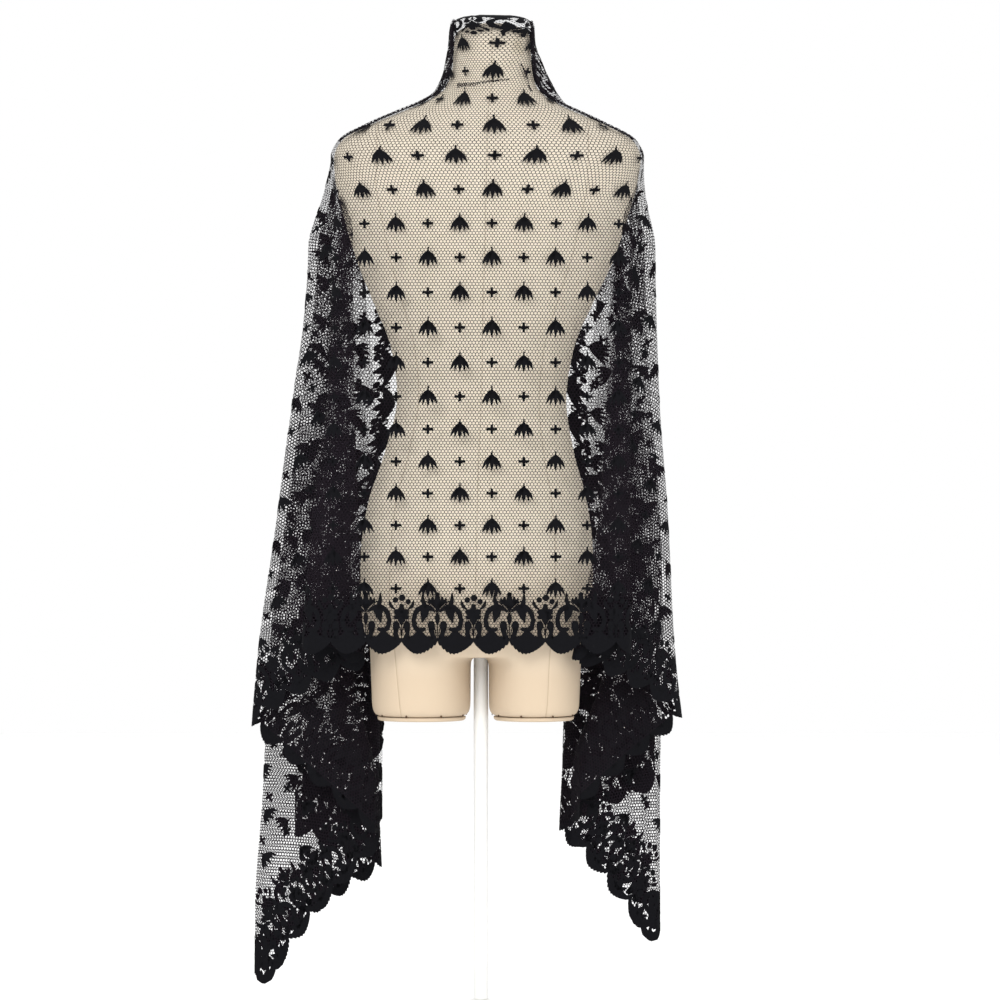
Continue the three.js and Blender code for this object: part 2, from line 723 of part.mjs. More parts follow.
function thighGeometry(thigh, low, high) {
  const heights = [low, low + 8, 420, 450, crotchHeight + 4, 490, high];
  const rings = heights.map((z) => {
    const grow = z - low < 8 ? -thigh.tuck * (1 - (z - low) / 8) : 0;
    const rise = clamp((z - thighEnd) / (520 - thighEnd), 0, 1);
    const outward = Math.sign(thigh.centre) * 2 * rise;
    return ringOf(
      {
        centre: thigh.centre + outward,
        half: thigh.half + grow + 3 * rise,
        back: thigh.back + grow + 24 * rise,
        front: thigh.front + grow + 16 * rise,
        square: 2.2,
      },
      z,
      formSides,
    );
  });
  return loft(rings);
}

const wasm = await Module();
wasm.setup();
function solid(geometry) {
  const bare = geometry.index ? geometry.toNonIndexed() : geometry.clone();
  bare.deleteAttribute("normal");
  bare.deleteAttribute("uv");
  const merged = mergeVertices(bare, 1e-3);
  return new wasm.Manifold(
    new wasm.Mesh({
      numProp: 3,
      vertProperties: merged.attributes.position.array,
      triVerts: new Uint32Array(merged.index.array),
    }),
  );
}
function geometryOf(made) {
  const mesh = made.getMesh();
  const geometry = new THREE.BufferGeometry();
  geometry.setAttribute("position", new THREE.BufferAttribute(mesh.vertProperties, 3));
  geometry.setIndex(new THREE.BufferAttribute(mesh.triVerts, 1));
  return geometry;
}
function upright(radiusBelow, radiusAbove, low, high, sides) {
  const geometry = new THREE.CylinderGeometry(radiusAbove, radiusBelow, high - low, sides);
  geometry.rotateX(Math.PI / 2);
  geometry.translate(0, 0, (low + high) / 2);
  return geometry;
}

// The form: torso and two short thighs in one piece, with a socket for the pole between them.
const socketTop = crotchHeight + poleSocketDepth;
const body = thighs
  .reduce(
    (sum, thigh) => sum.add(solid(thighGeometry(thigh, thighEnd + thighCapThickness + fitGap, 520))),
    solid(torsoGeometry()),
  )
  .subtract(solid(upright(poleRadius + fitGap, poleRadius + fitGap, crotchHeight - 90, socketTop, 24)));
group.add(named("form_body", geometryOf(body), canvasMaterial));

for (const thigh of thighs) {
  const row = { ...thigh, half: thigh.half - 6, back: thigh.back - 6, front: thigh.front - 6, square: 2.2 };
  const rings = [
    ringOf({ ...row, half: row.half - 3, back: row.back - 3, front: row.front - 3 }, thighEnd, formSides),
    ringOf(row, thighEnd + 2.5, formSides),
    ringOf(row, thighEnd + thighCapThickness, formSides),
  ];
  group.add(named(`form_thigh_cap_${thigh.name}`, loft(rings), canvasMaterial));
}

group.add(
  named(
    "stand_pole",
    upright(poleRadius, poleRadius, baseThickness + hubHeight + fitGap, socketTop - fitGap, 24),
    standMaterial,
  ),
);
const baseProfile = [
  [0, 0],
  [baseRadius, 0],
  [baseRadius, baseThickness - 4],
  [baseRadius - 4, baseThickness],
  [hubRadius + 6, baseThickness],
  [hubRadius, baseThickness + 6],
  [poleRadius + 7, baseThickness + hubHeight - 3],
  [poleRadius + 4, baseThickness + hubHeight],
  [0, baseThickness + hubHeight],
].map(([x, y]) => new THREE.Vector2(x, y));
const baseGeometry = new THREE.LatheGeometry(baseProfile, 48);
baseGeometry.rotateX(Math.PI / 2);
group.add(named("stand_base", baseGeometry, standMaterial));

export default group;
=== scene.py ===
import json
import math

import bmesh
import bpy
import numpy as np
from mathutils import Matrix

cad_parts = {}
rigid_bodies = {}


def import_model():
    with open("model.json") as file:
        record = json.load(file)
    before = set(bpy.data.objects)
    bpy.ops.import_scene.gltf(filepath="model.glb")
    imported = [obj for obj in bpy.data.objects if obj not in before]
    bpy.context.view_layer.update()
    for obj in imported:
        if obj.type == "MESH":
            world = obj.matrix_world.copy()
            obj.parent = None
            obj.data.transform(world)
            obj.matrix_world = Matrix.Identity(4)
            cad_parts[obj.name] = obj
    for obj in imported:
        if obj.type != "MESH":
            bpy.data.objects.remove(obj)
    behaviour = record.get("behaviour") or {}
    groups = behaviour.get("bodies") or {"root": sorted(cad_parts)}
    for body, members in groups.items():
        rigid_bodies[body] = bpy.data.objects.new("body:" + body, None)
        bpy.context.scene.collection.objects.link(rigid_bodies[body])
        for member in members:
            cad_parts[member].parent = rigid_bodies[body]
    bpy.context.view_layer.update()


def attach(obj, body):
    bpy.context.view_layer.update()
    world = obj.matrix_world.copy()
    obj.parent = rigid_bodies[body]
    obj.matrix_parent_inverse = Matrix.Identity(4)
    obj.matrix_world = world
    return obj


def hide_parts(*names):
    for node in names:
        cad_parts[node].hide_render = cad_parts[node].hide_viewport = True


for startup in list(bpy.data.objects):
    bpy.data.objects.remove(startup)
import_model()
mm = 0.001

# The worn cloth

cloth = {
    "width": 862,
    "left": 1025,  # from the centre back to each end
    "right": 958,
    "border": 75,
    "shoulderHeight": 1106,
    "shoulderS": 180,
    "shoulderT": 238,
    "collarRise": 1.23,
    "frontLag": 83,
    "foldsBegin": 130,
    "foldRound": 17,
    "restGap": 1.5,
    "dome": 26,  # how far the collar rises above the neck's rim
    "domeArc": 70,
    "sag": 9.5,
    "sagFrom": 120,
    "sagOver": 220,
    "foldsSettle": 620,  # below this depth the folds get no deeper
}
foldDepths = [130, 300, 450, 620, 800, 950]
folds = {
    # a fold's way out at each of those depths, and its place from back to front, high and low
    "left": {
        "backOuter": ([184, 190, 209, 222, 228, 232], [-84, -94]),
        "backInner": ([157, 155, 150, 142, 100, 95], [-60, -72]),
        "sideOuter": ([216, 232, 254, 279, 292, 294], [-12, -16]),
        "sideInner": ([186, 166, 162, 160, 127, 122], [22, 24]),
        "tailOuter": ([206, 225, 246, 268, 277, 287], [44, 56]),
        "tailInner": ([170, 148, 133, 126, 127, 122], [74, 108]),
        "frontFirst": ([184, 205, 222, 234, 238, 238], [95, 124]),
        "frontSecond": ([148, 134, 127, 124, 124, 122], [114, 142]),
        "frontThird": ([182, 194, 208, 222, 230, 232], [130, 160]),
        "frontEdge": ([106, 108, 126, 124, 124, 122], [126, 178]),
    },
    "right": {
        "backOuter": ([188, 187, 186, 187, 190, 192], [-84, -94]),
        "backInner": ([174, 155, 145, 112, 70, 60], [-60, -97]),
        "sideOuter": ([218, 223, 234, 243, 262, 266], [-12, -16]),
        "sideInner": ([186, 162, 158, 156, 102, 94], [22, 24]),
        "tailOuter": ([206, 214, 226, 230, 227, 227], [44, 56]),
        "tailInner": ([168, 146, 130, 112, 99, 93], [74, 108]),
        "frontFirst": ([180, 200, 216, 222, 222, 222], [95, 124]),
        "frontSecond": ([148, 134, 120, 106, 100, 96], [114, 142]),
        "frontThird": ([178, 190, 206, 216, 222, 224], [130, 160]),
        "frontEdge": ([104, 106, 118, 108, 104, 98], [126, 178]),
    },
}
yoke = [
    {"depth": -193, "ridge": 40, "frontEnd": -6, "left": 0, "right": 0},
    {"depth": -130, "ridge": 55, "frontEnd": 42, "left": 4, "right": 3},
    {"depth": -100, "ridge": 68, "frontEnd": 56, "left": 9, "right": 14},
    {"depth": -68, "ridge": 96, "frontEnd": 60, "left": 13, "right": 23},
    {"depth": -40, "ridge": 132, "frontEnd": 58, "left": 6, "right": 7},
    {"depth": 0, "ridge": 180, "frontEnd": 54, "left": 0, "right": 0},
]
ridgeAngle = -8

formColumns = ("height", "centre", "half", "back", "front", "square")
formRows = [
    dict(zip(formColumns, row))
    for row in (
        (384, -5, 128, 84, 66, 2.3),
        (410, -5, 132, 92, 72, 2.3),
        (470, -6, 138, 110, 84, 2.3),
        (540, -6, 148, 121, 92, 2.3),
        (600, -5, 147, 121, 97, 2.3),
        (660, -4, 139, 114, 98, 2.3),
        (720, -2, 121, 98, 94, 2.25),
        (790, 1, 108, 86, 90, 2.2),
        (850, 2, 116, 92, 99, 2.25),
        (905, 3, 138, 100, 111, 2.3),
        (960, 5, 162, 105, 118, 2.4),
        (1010, 6, 178, 107, 106, 2.5),
        (1060, 7, 191, 106, 88, 2.6),
        (1090, 8, 194, 101, 78, 2.6),
        (1110, 8, 185, 95, 70, 2.5),
        (1128, 8, 153, 87, 64, 2.3),
        (1143, 9, 118, 79, 60, 2.2),
        (1158, 11, 84, 68, 56, 2.1),
        (1175, 13, 60, 58, 52, 2),
        (1200, 14, 52, 52, 48, 2),
        (1240, 14, 50, 50, 47, 2),
    )
]
form = {"neckTop": 1240, "dome": 20, "skinInset": 2.4, "crotch": 468, "thighEnd": 388, "cap": 5}
thighs = {
    "left": {"centre": -74, "half": 61, "back": 82, "front": 64, "tuck": 6},
    "right": {"centre": 66, "half": 56, "back": 80, "front": 62, "tuck": 6},
}


def through(knots, values, x):
    # smooth curve through the values, never past them
    knots, values = np.asarray(knots, float), np.asarray(values, float)
    x = np.clip(np.asarray(x, float), knots[0], knots[-1])
    width = np.diff(knots)
    rise = np.diff(values) / width
    slope = np.zeros(len(knots))
    product = rise[:-1] * rise[1:]
    total = np.where(product > 0, rise[:-1] + rise[1:], 1)
    slope[1:-1] = np.where(product > 0, 2 * product / total, 0)
    i = np.clip(np.searchsorted(knots, x, side="left") - 1, 0, len(width) - 1)
    f = (x - knots[i]) / width[i]
    f2, f3 = f * f, f * f * f
    return (
        values[i] * (2 * f3 - 3 * f2 + 1)
        + slope[i] * width[i] * (f3 - 2 * f2 + f)
        + values[i + 1] * (3 * f2 - 2 * f3)
        + slope[i + 1] * width[i] * (f3 - f2)
    )


def ease(f):
    f = np.clip(f, 0, 1)
    return f * f * (3 - 2 * f)


def between(value, low=0, high=1):
    return min(max(value, low), high)


def mix(a, b, f):
    return a + (b - a) * f


def column(rows, name):
    return [row[name] for row in rows]


sizeNames = ("half", "back", "front")


def formAt(z):
    heights = column(formRows, "height")
    row = {name: through(heights, column(formRows, name), z) for name in formColumns[1:]}
    share = np.clip((np.asarray(z) - form["neckTop"]) / cloth["dome"], 0, 1)
    shrink = (1 - share**4) ** 0.25
    for name in sizeNames:
        row[name] = row[name] * shrink
    return row


def aroundForm(row, angle, gap):
    c, s = np.cos(np.radians(angle)), np.sin(np.radians(angle))
    power = 2 / row["square"]
    reach = np.where(s < 0, row["back"], row["front"]) + gap
    x = np.sign(c) * (row["half"] + gap) * np.abs(c) ** power
    return x, np.sign(s) * reach * np.abs(s) ** power


def clearOfForm(x, y, z):
    row = formAt(z)
    reach = np.where(y < 0, row["back"], row["front"]) + cloth["restGap"]
    across = np.abs(x - row["centre"]) / (row["half"] + cloth["restGap"])
    level = (across ** row["square"] + (np.abs(y) / reach) ** row["square"]) ** (1 / row["square"])
    inside = (level < 1) & (level > 0.05) & (z <= form["neckTop"] + cloth["dome"] - 1)
    level = np.where(inside, level, 1)
    return row["centre"] + (x - row["centre"]) / level, y / level


yokeDepths = column(yoke, "depth")
domeDepth = cloth["shoulderHeight"] - form["neckTop"] - 2


def heightAt(depth):
    share = np.clip((domeDepth - depth) / (domeDepth - yokeDepths[0]), 0, 1)
    rise = cloth["dome"] * np.sin(share * math.radians(cloth["domeArc"]))
    over = cloth["shoulderHeight"] - domeDepth + rise - 0.5
    sag = cloth["sag"] * ease((depth - cloth["sagFrom"]) / cloth["sagOver"])
    hung = cloth["shoulderHeight"] - depth - sag
    return np.where(depth >= domeDepth, hung, over)


hangingBack = {"high": 110, "low": 125, "from": 90, "over": 420}
firstRise, laterRise = (0.125, 0.45), (1 / 6, 2 / 3)  # how a stretch bends towards its fold


def foldControls(side, depth):
    turn = cloth["foldRound"] * between(depth / cloth["foldsBegin"], 0.1, 1.25)
    share = between((depth - cloth["foldsBegin"]) / (cloth["foldsSettle"] - cloth["foldsBegin"]))
    lowered = between((depth - hangingBack["from"]) / hangingBack["over"])
    start = (0, -mix(hangingBack["high"], hangingBack["low"], lowered))
    points = [start]
    for i, (outs, deeps) in enumerate(folds[side].values()):
        isEdge = i == len(folds[side]) - 1
        out = float(through(foldDepths, outs, depth))
        deep = mix(*deeps, share)
        near = (out, deep - (0 if isEdge else turn / 2))
        for part, rise in zip((1 / 3, 2 / 3), laterRise if i else firstRise):
            points.append((mix(start[0], near[0], part), mix(start[1], near[1], rise)))
        points.append(near)
        if not isEdge:
            points.append((out, deep + turn / 2))
        start = points[-1]
    return np.array(points)


def runAlong(points):
    return np.concatenate([[0], np.cumsum(np.linalg.norm(np.diff(points, axis=0), axis=1))])


def restShares(side):
    run = runAlong(foldControls(side, cloth["foldsBegin"]))
    ridge = (run[3] + run[4]) / 2
    return np.where(run <= ridge, run / ridge, 1 + (run - ridge) / (run[-1] - ridge))


standOff = {"within": 0.45, "deep": 0.3, "centred": 1.5}  # how the yoke's front clears the form


def restingControls(side, depth):
    shares = restShares(side)
    row = formAt(heightAt(depth))
    end = through(yokeDepths, column(yoke, "frontEnd"), depth)
    stand = through(yokeDepths, column(yoke, side), depth)
    angle = np.where(shares <= 1, mix(-90, ridgeAngle, shares), mix(ridgeAngle, end, shares - 1))
    x, y = aroundForm(row, angle, cloth["restGap"])
    off = stand * ease((shares - 1) / standOff["within"])
    sign = -1 if side == "left" else 1
    out = x + sign * row["centre"] * np.minimum(1, shares * standOff["centred"]) + off
    return np.stack([out, y + off * standOff["deep"]], 1)


spanSamples = 8
ridgeMark = 3.5


def sectionCurve(side, depth):
    formed = float(ease(depth / cloth["foldsBegin"]))
    controls = foldControls(side, max(depth, cloth["foldsBegin"]))
    if formed < 1:
        controls = mix(restingControls(side, depth), controls, formed)
    mirrored = controls[1] * [-1, 1]
    beyond = 2 * controls[-1] - controls[-2]
    padded = np.vstack([mirrored, controls, beyond, beyond])
    mark = np.arange((len(controls) - 1) * spanSamples + 1) / spanSamples
    base = np.minimum(mark.astype(int), len(controls) - 2)
    f = (mark - base)[:, None]
    points = (
        (1 - f) ** 3 * padded[base]
        + (3 * f**3 - 6 * f * f + 4) * padded[base + 1]
        + (-3 * f**3 + 3 * f * f + 3 * f + 1) * padded[base + 2]
        + f**3 * padded[base + 3]
    ) / 6
    points[0, 0] = 0
    return points, runAlong(points)


# Each side's level sections, sampled evenly: the first part up to the ridge, the rest beyond it.
levelStep = 5
lowestDepth = 1130
depthLevels = np.arange(yokeDepths[0], lowestDepth, levelStep, dtype=float)
backSamples, frontSamples = 240, 900


def sectionTable(side):
    xs, ys, ridges = [], [], []
    for depth in depthLevels:
        points, run = sectionCurve(side, depth)
        ridgeRun = run[int(ridgeMark * spanSamples)]
        behind = np.linspace(0, ridgeRun, backSamples + 1)[:-1]
        beyond = np.linspace(ridgeRun, run[-1], frontSamples + 1)
        wanted = np.concatenate([behind, beyond])
        xs.append(np.interp(wanted, run, points[:, 0]))
        ys.append(np.interp(wanted, run, points[:, 1]))
        resting = through(yokeDepths, column(yoke, "ridge"), min(depth, 0))
        ridges.append(mix(resting, ridgeRun * 1.02, ease(depth / cloth["foldsBegin"])))
    return {"x": np.array(xs), "y": np.array(ys), "ridge": np.array(ridges)}


tables = {side: sectionTable(side) for side in ("left", "right")}
print("cloth sections worked out")


def levelOf(s, t):
    # depth below the shoulder and place along the level line, from the flat place
    lag = cloth["shoulderS"] + cloth["frontLag"] * (1 - t / cloth["shoulderT"])
    past = s - cloth["shoulderS"]
    down = t - cloth["shoulderT"]
    quarter = np.hypot(past, down)
    turned = np.arctan2(past, np.maximum(down, 1e-9))
    back = down / cloth["collarRise"]
    low, high = back.copy(), np.zeros_like(back)
    edgeEnd = cloth["shoulderS"] + cloth["frontLag"]
    ridges = column(yoke, "ridge")
    for _ in range(36):
        depth = (low + high) / 2
        ridge = through(yokeDepths, ridges, depth)
        share = 1 - t / np.maximum(cloth["shoulderT"] + cloth["collarRise"] * depth, 1e-6)
        place = mix(ridge, mix(edgeEnd, ridges[0], depth / yokeDepths[0]), share)
        low = np.where(place < s, depth, low)
        high = np.where(place < s, high, depth)
    over = (low + high) / 2
    overRidge = through(yokeDepths, ridges, over)
    below = t >= cloth["shoulderT"]
    front = ~below & (s >= lag)
    flatBack = ~below & ~front & (s <= through(yokeDepths, ridges, back))
    parts = [below & (past <= 0), below, front, flatBack]
    depth = np.select(parts, [down, quarter, s - lag, back], over)
    along = np.select(
        parts,
        [
            s,
            cloth["shoulderS"] + quarter * turned,
            cloth["shoulderS"] + (s - lag) * math.pi / 2 + cloth["shoulderT"] - t,
            s,
        ],
        overRidge + cloth["shoulderT"] + cloth["collarRise"] * over - t,
    )
    return depth, along


def wornSide(side, s, t):
    table = tables[side]
    depth, along = levelOf(s, t)
    level = np.clip((depth - depthLevels[0]) / levelStep, 0, len(depthLevels) - 1.001)
    i = level.astype(int)
    f = level - i
    ridge = mix(table["ridge"][i], table["ridge"][i + 1], f)
    length = np.where(
        depth >= 0,
        cloth["shoulderS"] + depth * math.pi / 2 + cloth["shoulderT"],
        ridge + cloth["shoulderT"] + cloth["collarRise"] * depth,
    )
    behind = along <= ridge
    place = np.where(
        behind,
        along / ridge * backSamples,
        backSamples + (along - ridge) / np.maximum(length - ridge, 1e-6) * frontSamples,
    )
    place = np.clip(place, 0, backSamples + frontSamples - 0.001)
    j = place.astype(int)
    g = place - j

    def sampled(values):
        upper = mix(values[i, j], values[i, j + 1], g)
        return mix(upper, mix(values[i + 1, j], values[i + 1, j + 1], g), f)

    x, y = sampled(table["x"]), sampled(table["y"])
    z = heightAt(depth)
    x, y = clearOfForm(-x if side == "left" else x, y, z)
    return np.stack([x, y, z], 1)


def wornPlain(s, t):
    points = np.zeros((len(s), 3))
    left = s < 0
    points[left] = wornSide("left", -s[left], t[left])
    points[~left] = wornSide("right", s[~left], t[~left])
    return points


def wornNormal(s, t):
    step = 2.5
    alongS = wornPlain(s + step, t) - wornPlain(s - step, t)
    alongT = wornPlain(s, t + step) - wornPlain(s, np.maximum(t - step, 0))
    normal = np.cross(alongT, alongS)
    return normal / np.maximum(np.linalg.norm(normal, axis=1), 1e-9)[:, None]


# Creases of the cloth, each a soft ridge between two flat places.
creases = [
    {"from": (-40, 158), "to": (38, 148), "wide": 3.2, "high": 2.6},  # across the nape
    {"from": (36, 112), "to": (66, 158), "wide": 2.2, "high": 1.8},  # slanting down the nape
    {"from": (-62, 118), "to": (-84, 182), "wide": 5, "high": 3},
    {"from": (60, 176), "to": (150, 232), "wide": 7, "high": 2.4},  # towards the right shoulder
    {"from": (-70, 190), "to": (-158, 236), "wide": 8, "high": 2.2},
    {"from": (96, 250), "to": (140, 470), "wide": 10, "high": 1.6},
    {"from": (-120, 262), "to": (-142, 430), "wide": 9, "high": 1.8},
    {"from": (-66, 560), "to": (-112, 770), "wide": 12, "high": 2.4},
    {"from": (70, 600), "to": (118, 790), "wide": 12, "high": 2.2},
    {"from": (4, 640), "to": (-6, 830), "wide": 14, "high": 1.8},
    {"from": (-300, 420), "to": (-420, 700), "wide": 9, "high": 3},
    {"from": (330, 380), "to": (420, 660), "wide": 9, "high": 3},
    {"from": (-520, 300), "to": (-760, 420), "wide": 8, "high": 3},
    {"from": (500, 280), "to": (700, 400), "wide": 8, "high": 3},
]


def creaseHeight(s, t):
    total = np.zeros_like(s)
    for crease in creases:
        (s0, t0), (s1, t1) = crease["from"], crease["to"]
        long2 = (s1 - s0) ** 2 + (t1 - t0) ** 2
        share = ((s - s0) * (s1 - s0) + (t - t0) * (t1 - t0)) / long2
        held = np.clip(share, 0, 1)
        away = np.hypot(s - mix(s0, s1, held), t - mix(t0, t1, held))
        fade = np.sin(np.pi * held) ** 0.5
        total += crease["high"] * fade * np.exp(-((away / crease["wide"]) ** 2))
    return total


def worn(s, t, lift=0.0):
    # worn place in metres of a flat place in millimetres, lifted off the net's middle
    s, t = np.asarray(s, float), np.asarray(t, float)
    return (wornPlain(s, t) + wornNormal(s, t) * (creaseHeight(s, t) + lift)[:, None]) * mm


# Small makers of meshes


def meshObject(name, points, faces):
    mesh = bpy.data.meshes.new(name)
    mesh.from_pydata([tuple(p) for p in points], [], faces)
    mesh.polygons.foreach_set("use_smooth", [True] * len(mesh.polygons))
    obj = bpy.data.objects.new(name, mesh)
    bpy.context.scene.collection.objects.link(obj)
    return obj


def gridFaces(rows, columns, closed=False):
    faces = []
    for i in range(rows - 1):
        for j in range(columns if closed else columns - 1):
            a, b = i * columns + j, i * columns + (j + 1) % columns
            faces.append((a, b, b + columns, a + columns))
    return faces


def loft(name, rings):
    # closed body through rings of points, from the lowest up
    count = len(rings[0])
    points = np.vstack([*rings, rings[0].mean(0)[None], rings[-1].mean(0)[None]])
    faces = gridFaces(len(rings), count, closed=True)
    top = (len(rings) - 1) * count
    for k in range(count):
        n = (k + 1) % count
        faces.append((len(points) - 2, n, k))
        faces.append((len(points) - 1, top + k, top + n))
    return meshObject(name, points, faces)


def finished(obj):
    # the object's mesh with every modifier taken in
    depsgraph = bpy.context.evaluated_depsgraph_get()
    mesh = bpy.data.meshes.new_from_object(obj.evaluated_get(depsgraph), depsgraph=depsgraph)
    obj.modifiers.clear()
    obj.data = mesh
    return obj


def scatterTree():
    # Geometry Nodes: the motif on every point, turned and sized by the point's own values
    tree = bpy.data.node_groups.new("Motif on points", "GeometryNodeTree")
    for label, kind in (("Points", "Geometry"), ("Motif", "Object"), ("Finish", "Material")):
        tree.interface.new_socket(label, in_out="INPUT", socket_type=f"NodeSocket{kind}")
    tree.interface.new_socket("Geometry", in_out="OUTPUT", socket_type="NodeSocketGeometry")
    nodes, links = tree.nodes, tree.links
    source, result = nodes.new("NodeGroupInput"), nodes.new("NodeGroupOutput")
    motif = nodes.new("GeometryNodeObjectInfo")
    place = nodes.new("GeometryNodeInstanceOnPoints")
    real = nodes.new("GeometryNodeRealizeInstances")
    finish = nodes.new("GeometryNodeSetMaterial")
    for label, socket in (("turn", "Rotation"), ("size", "Scale")):
        kept = nodes.new("GeometryNodeInputNamedAttribute")
        kept.data_type = "FLOAT_VECTOR"
        kept.inputs["Name"].default_value = label
        links.new(kept.outputs["Attribute"], place.inputs[socket])
    links.new(source.outputs["Motif"], motif.inputs["Object"])
    links.new(source.outputs["Points"], place.inputs["Points"])
    links.new(motif.outputs["Geometry"], place.inputs["Instance"])
    links.new(place.outputs["Instances"], real.inputs["Geometry"])
    links.new(real.outputs["Geometry"], finish.inputs["Geometry"])
    links.new(source.outputs["Finish"], finish.inputs["Material"])
    links.new(finish.outputs["Geometry"], result.inputs["Geometry"])
    return tree


motifTree = scatterTree()


def scatter(name, motif, places, turns, material, sizes=None):
    obj = meshObject(name, places, [])
    sizes = np.ones((len(places), 3)) if sizes is None else sizes
    for label, values in (("turn", turns), ("size", sizes)):
        kept = obj.data.attributes.new(label, "FLOAT_VECTOR", "POINT")
        kept.data.foreach_set("vector", np.asarray(values, np.float32).ravel())
    modifier = obj.modifiers.new("Motifs", "NODES")
    modifier.node_group = motifTree
    values = {"Motif": motif, "Finish": material}
    for item in motifTree.interface.items_tree:
        if item.name in values and item.in_out == "INPUT":
            modifier[item.identifier] = values[item.name]
    return finished(obj)


# Finishes


class Wire:
    # a socket that can be used in Python sums
    def __init__(self, finish, socket):
        self.finish, self.socket = finish, socket

    def sum(self, operation, *values):
        return self.finish.add("ShaderNodeMath", {"operation": operation}, dict(enumerate(values)))

    def __add__(self, other):
        return self.sum("ADD", self, other)

    def __sub__(self, other):
        return self.sum("SUBTRACT", self, other)

    def __mul__(self, other):
        return self.sum("MULTIPLY", self, other)

    def __truediv__(self, other):
        return self.sum("DIVIDE", self, other)

    def __rsub__(self, other):
        return self.sum("SUBTRACT", other, self)

    __radd__ = __add__
    __rmul__ = __mul__

    def __abs__(self):
        return self.sum("ABSOLUTE", self)

    def below(self, other):
        return self.sum("LESS_THAN", self, other)

    def least(self, other):
        return self.sum("MINIMUM", self, other)

    def most(self, other):
        return self.sum("MAXIMUM", self, other)

    def wave(self):
        return self.sum("SINE", self)

    def fraction(self):
        return self.sum("FRACT", self)


class Finish:
    # one material, built node by node
    def __init__(self, name, **constants):
        self.material = bpy.data.materials.new(name)
        self.material.use_nodes = True
        self.tree = self.material.node_tree
        self.shader = next(n for n in self.tree.nodes if n.type == "BSDF_PRINCIPLED")
        for label, value in constants.items():
            self.shader.inputs[label.replace("_", " ")].default_value = value

    def add(self, kind, settings=None, inputs=None, output=0):
        node = self.tree.nodes.new(kind)
        for label, value in (settings or {}).items():
            setattr(node, label, value)
        for label, value in (inputs or {}).items():
            self.feed(node.inputs[label], value)
        return Wire(self, node.outputs[output])

    def feed(self, socket, value):
        if isinstance(value, Wire):
            self.tree.links.new(value.socket, socket)
        else:
            socket.default_value = value

    def set(self, label, value):
        self.feed(self.shader.inputs[label], value)

    def place(self):
        return self.add("ShaderNodeTexCoord", output="Object")

    def flatPlace(self):
        return self.add("ShaderNodeUVMap", {"uv_map": "flatCloth"})

    def kept(self, label):
        return self.add("ShaderNodeAttribute", {"attribute_name": label}, None, "Fac")

    def noise(self, vector, scale, detail=3.0):
        inputs = {"Vector": vector, "Scale": scale, "Detail": detail}
        return self.add("ShaderNodeTexNoise", None, inputs, "Fac")

    def parts(self, vector):
        inputs = {"Vector": vector}
        return [self.add("ShaderNodeSeparateXYZ", None, inputs, axis) for axis in "XYZ"]

    def blend(self, factor, a, b):
        inputs = {"Factor": factor, 6: a, 7: b}
        return self.add("ShaderNodeMix", {"data_type": "RGBA"}, inputs, 2)

    def bump(self, height, strength, distance):
        inputs = {"Height": height, "Strength": strength, "Distance": distance}
        self.set("Normal", self.add("ShaderNodeBump", None, inputs))


netLook = {
    "pitch": 4.3 * mm,
    "row": 3.4 * mm,
    "thread": 0.78 * mm,
    "wander": (0.5 * mm, 0.4 * mm),
    "thin": 0.8,  # share of the thread's width at its thinnest
    "uneven": 0.4,
    "gathered": 0.33,
    "dark": (0.004, 0.003, 0.0045, 1),
    "light": (0.014, 0.0105, 0.0145, 1),
}


def netFinish():
    # hexagon net: the distance from a cell's side decides where there is thread
    finish = Finish("blackSilkNet", Roughness=0.8, Specular_IOR_Level=0.05)
    u, v, _ = finish.parts(finish.flatPlace())
    pitch = netLook["pitch"]
    wander = finish.noise(finish.flatPlace(), 55.0, 1.0) - 0.5
    x = (u + wander * netLook["wander"][0]) / pitch
    y = (v + wander * netLook["wander"][1]) / (2 * netLook["row"])

    def cell(shift):
        across = abs((x + shift).fraction() - 0.5)
        up = abs((y + shift).fraction() - 0.5) * math.sqrt(3)
        return across.most(across * 0.5 + up * (math.sqrt(3) / 2))

    edge = 0.5 - cell(0.0).least(cell(0.5))
    half = 0.5 * netLook["thread"] / pitch
    uneven = finish.noise(finish.place(), 160.0, 2.0) * netLook["uneven"]
    gathered = finish.kept("gathered") * netLook["gathered"]
    finish.set("Alpha", edge.below(half * (netLook["thin"] + uneven + gathered)))
    shade = finish.noise(finish.place(), 9.0)
    finish.set("Base Color", finish.blend(shade, netLook["dark"], netLook["light"]))
    return finish.material


laceLook = {
    "rib": 0.9 * mm,
    "row": 1.3 * mm,
    "dark": (0.001, 0.001, 0.0015, 1),
    "light": (0.007, 0.007, 0.009, 1),
}


def laceFinish():
    # dense worked thread: fine ribs across each shape, crossed by weaker rows
    finish = Finish("blackLaceWork", Roughness=0.8, Specular_IOR_Level=0.07)
    u, v, _ = finish.parts(finish.flatPlace())
    ribs = (u * (2 * math.pi / laceLook["rib"])).wave() * 0.5 + 0.5
    rows = (v * (2 * math.pi / laceLook["row"])).wave() * 0.5 + 0.5
    uneven = finish.noise(finish.place(), 220.0)
    weave = ribs * 0.6 + rows * 0.4
    tone = weave * 0.4 + uneven * 0.6
    finish.set("Base Color", finish.blend(tone, laceLook["dark"], laceLook["light"]))
    finish.set("Roughness", 0.7 + uneven * 0.25)
    finish.bump(weave + uneven * 0.5, 0.6, 0.25 * mm)
    return finish.material


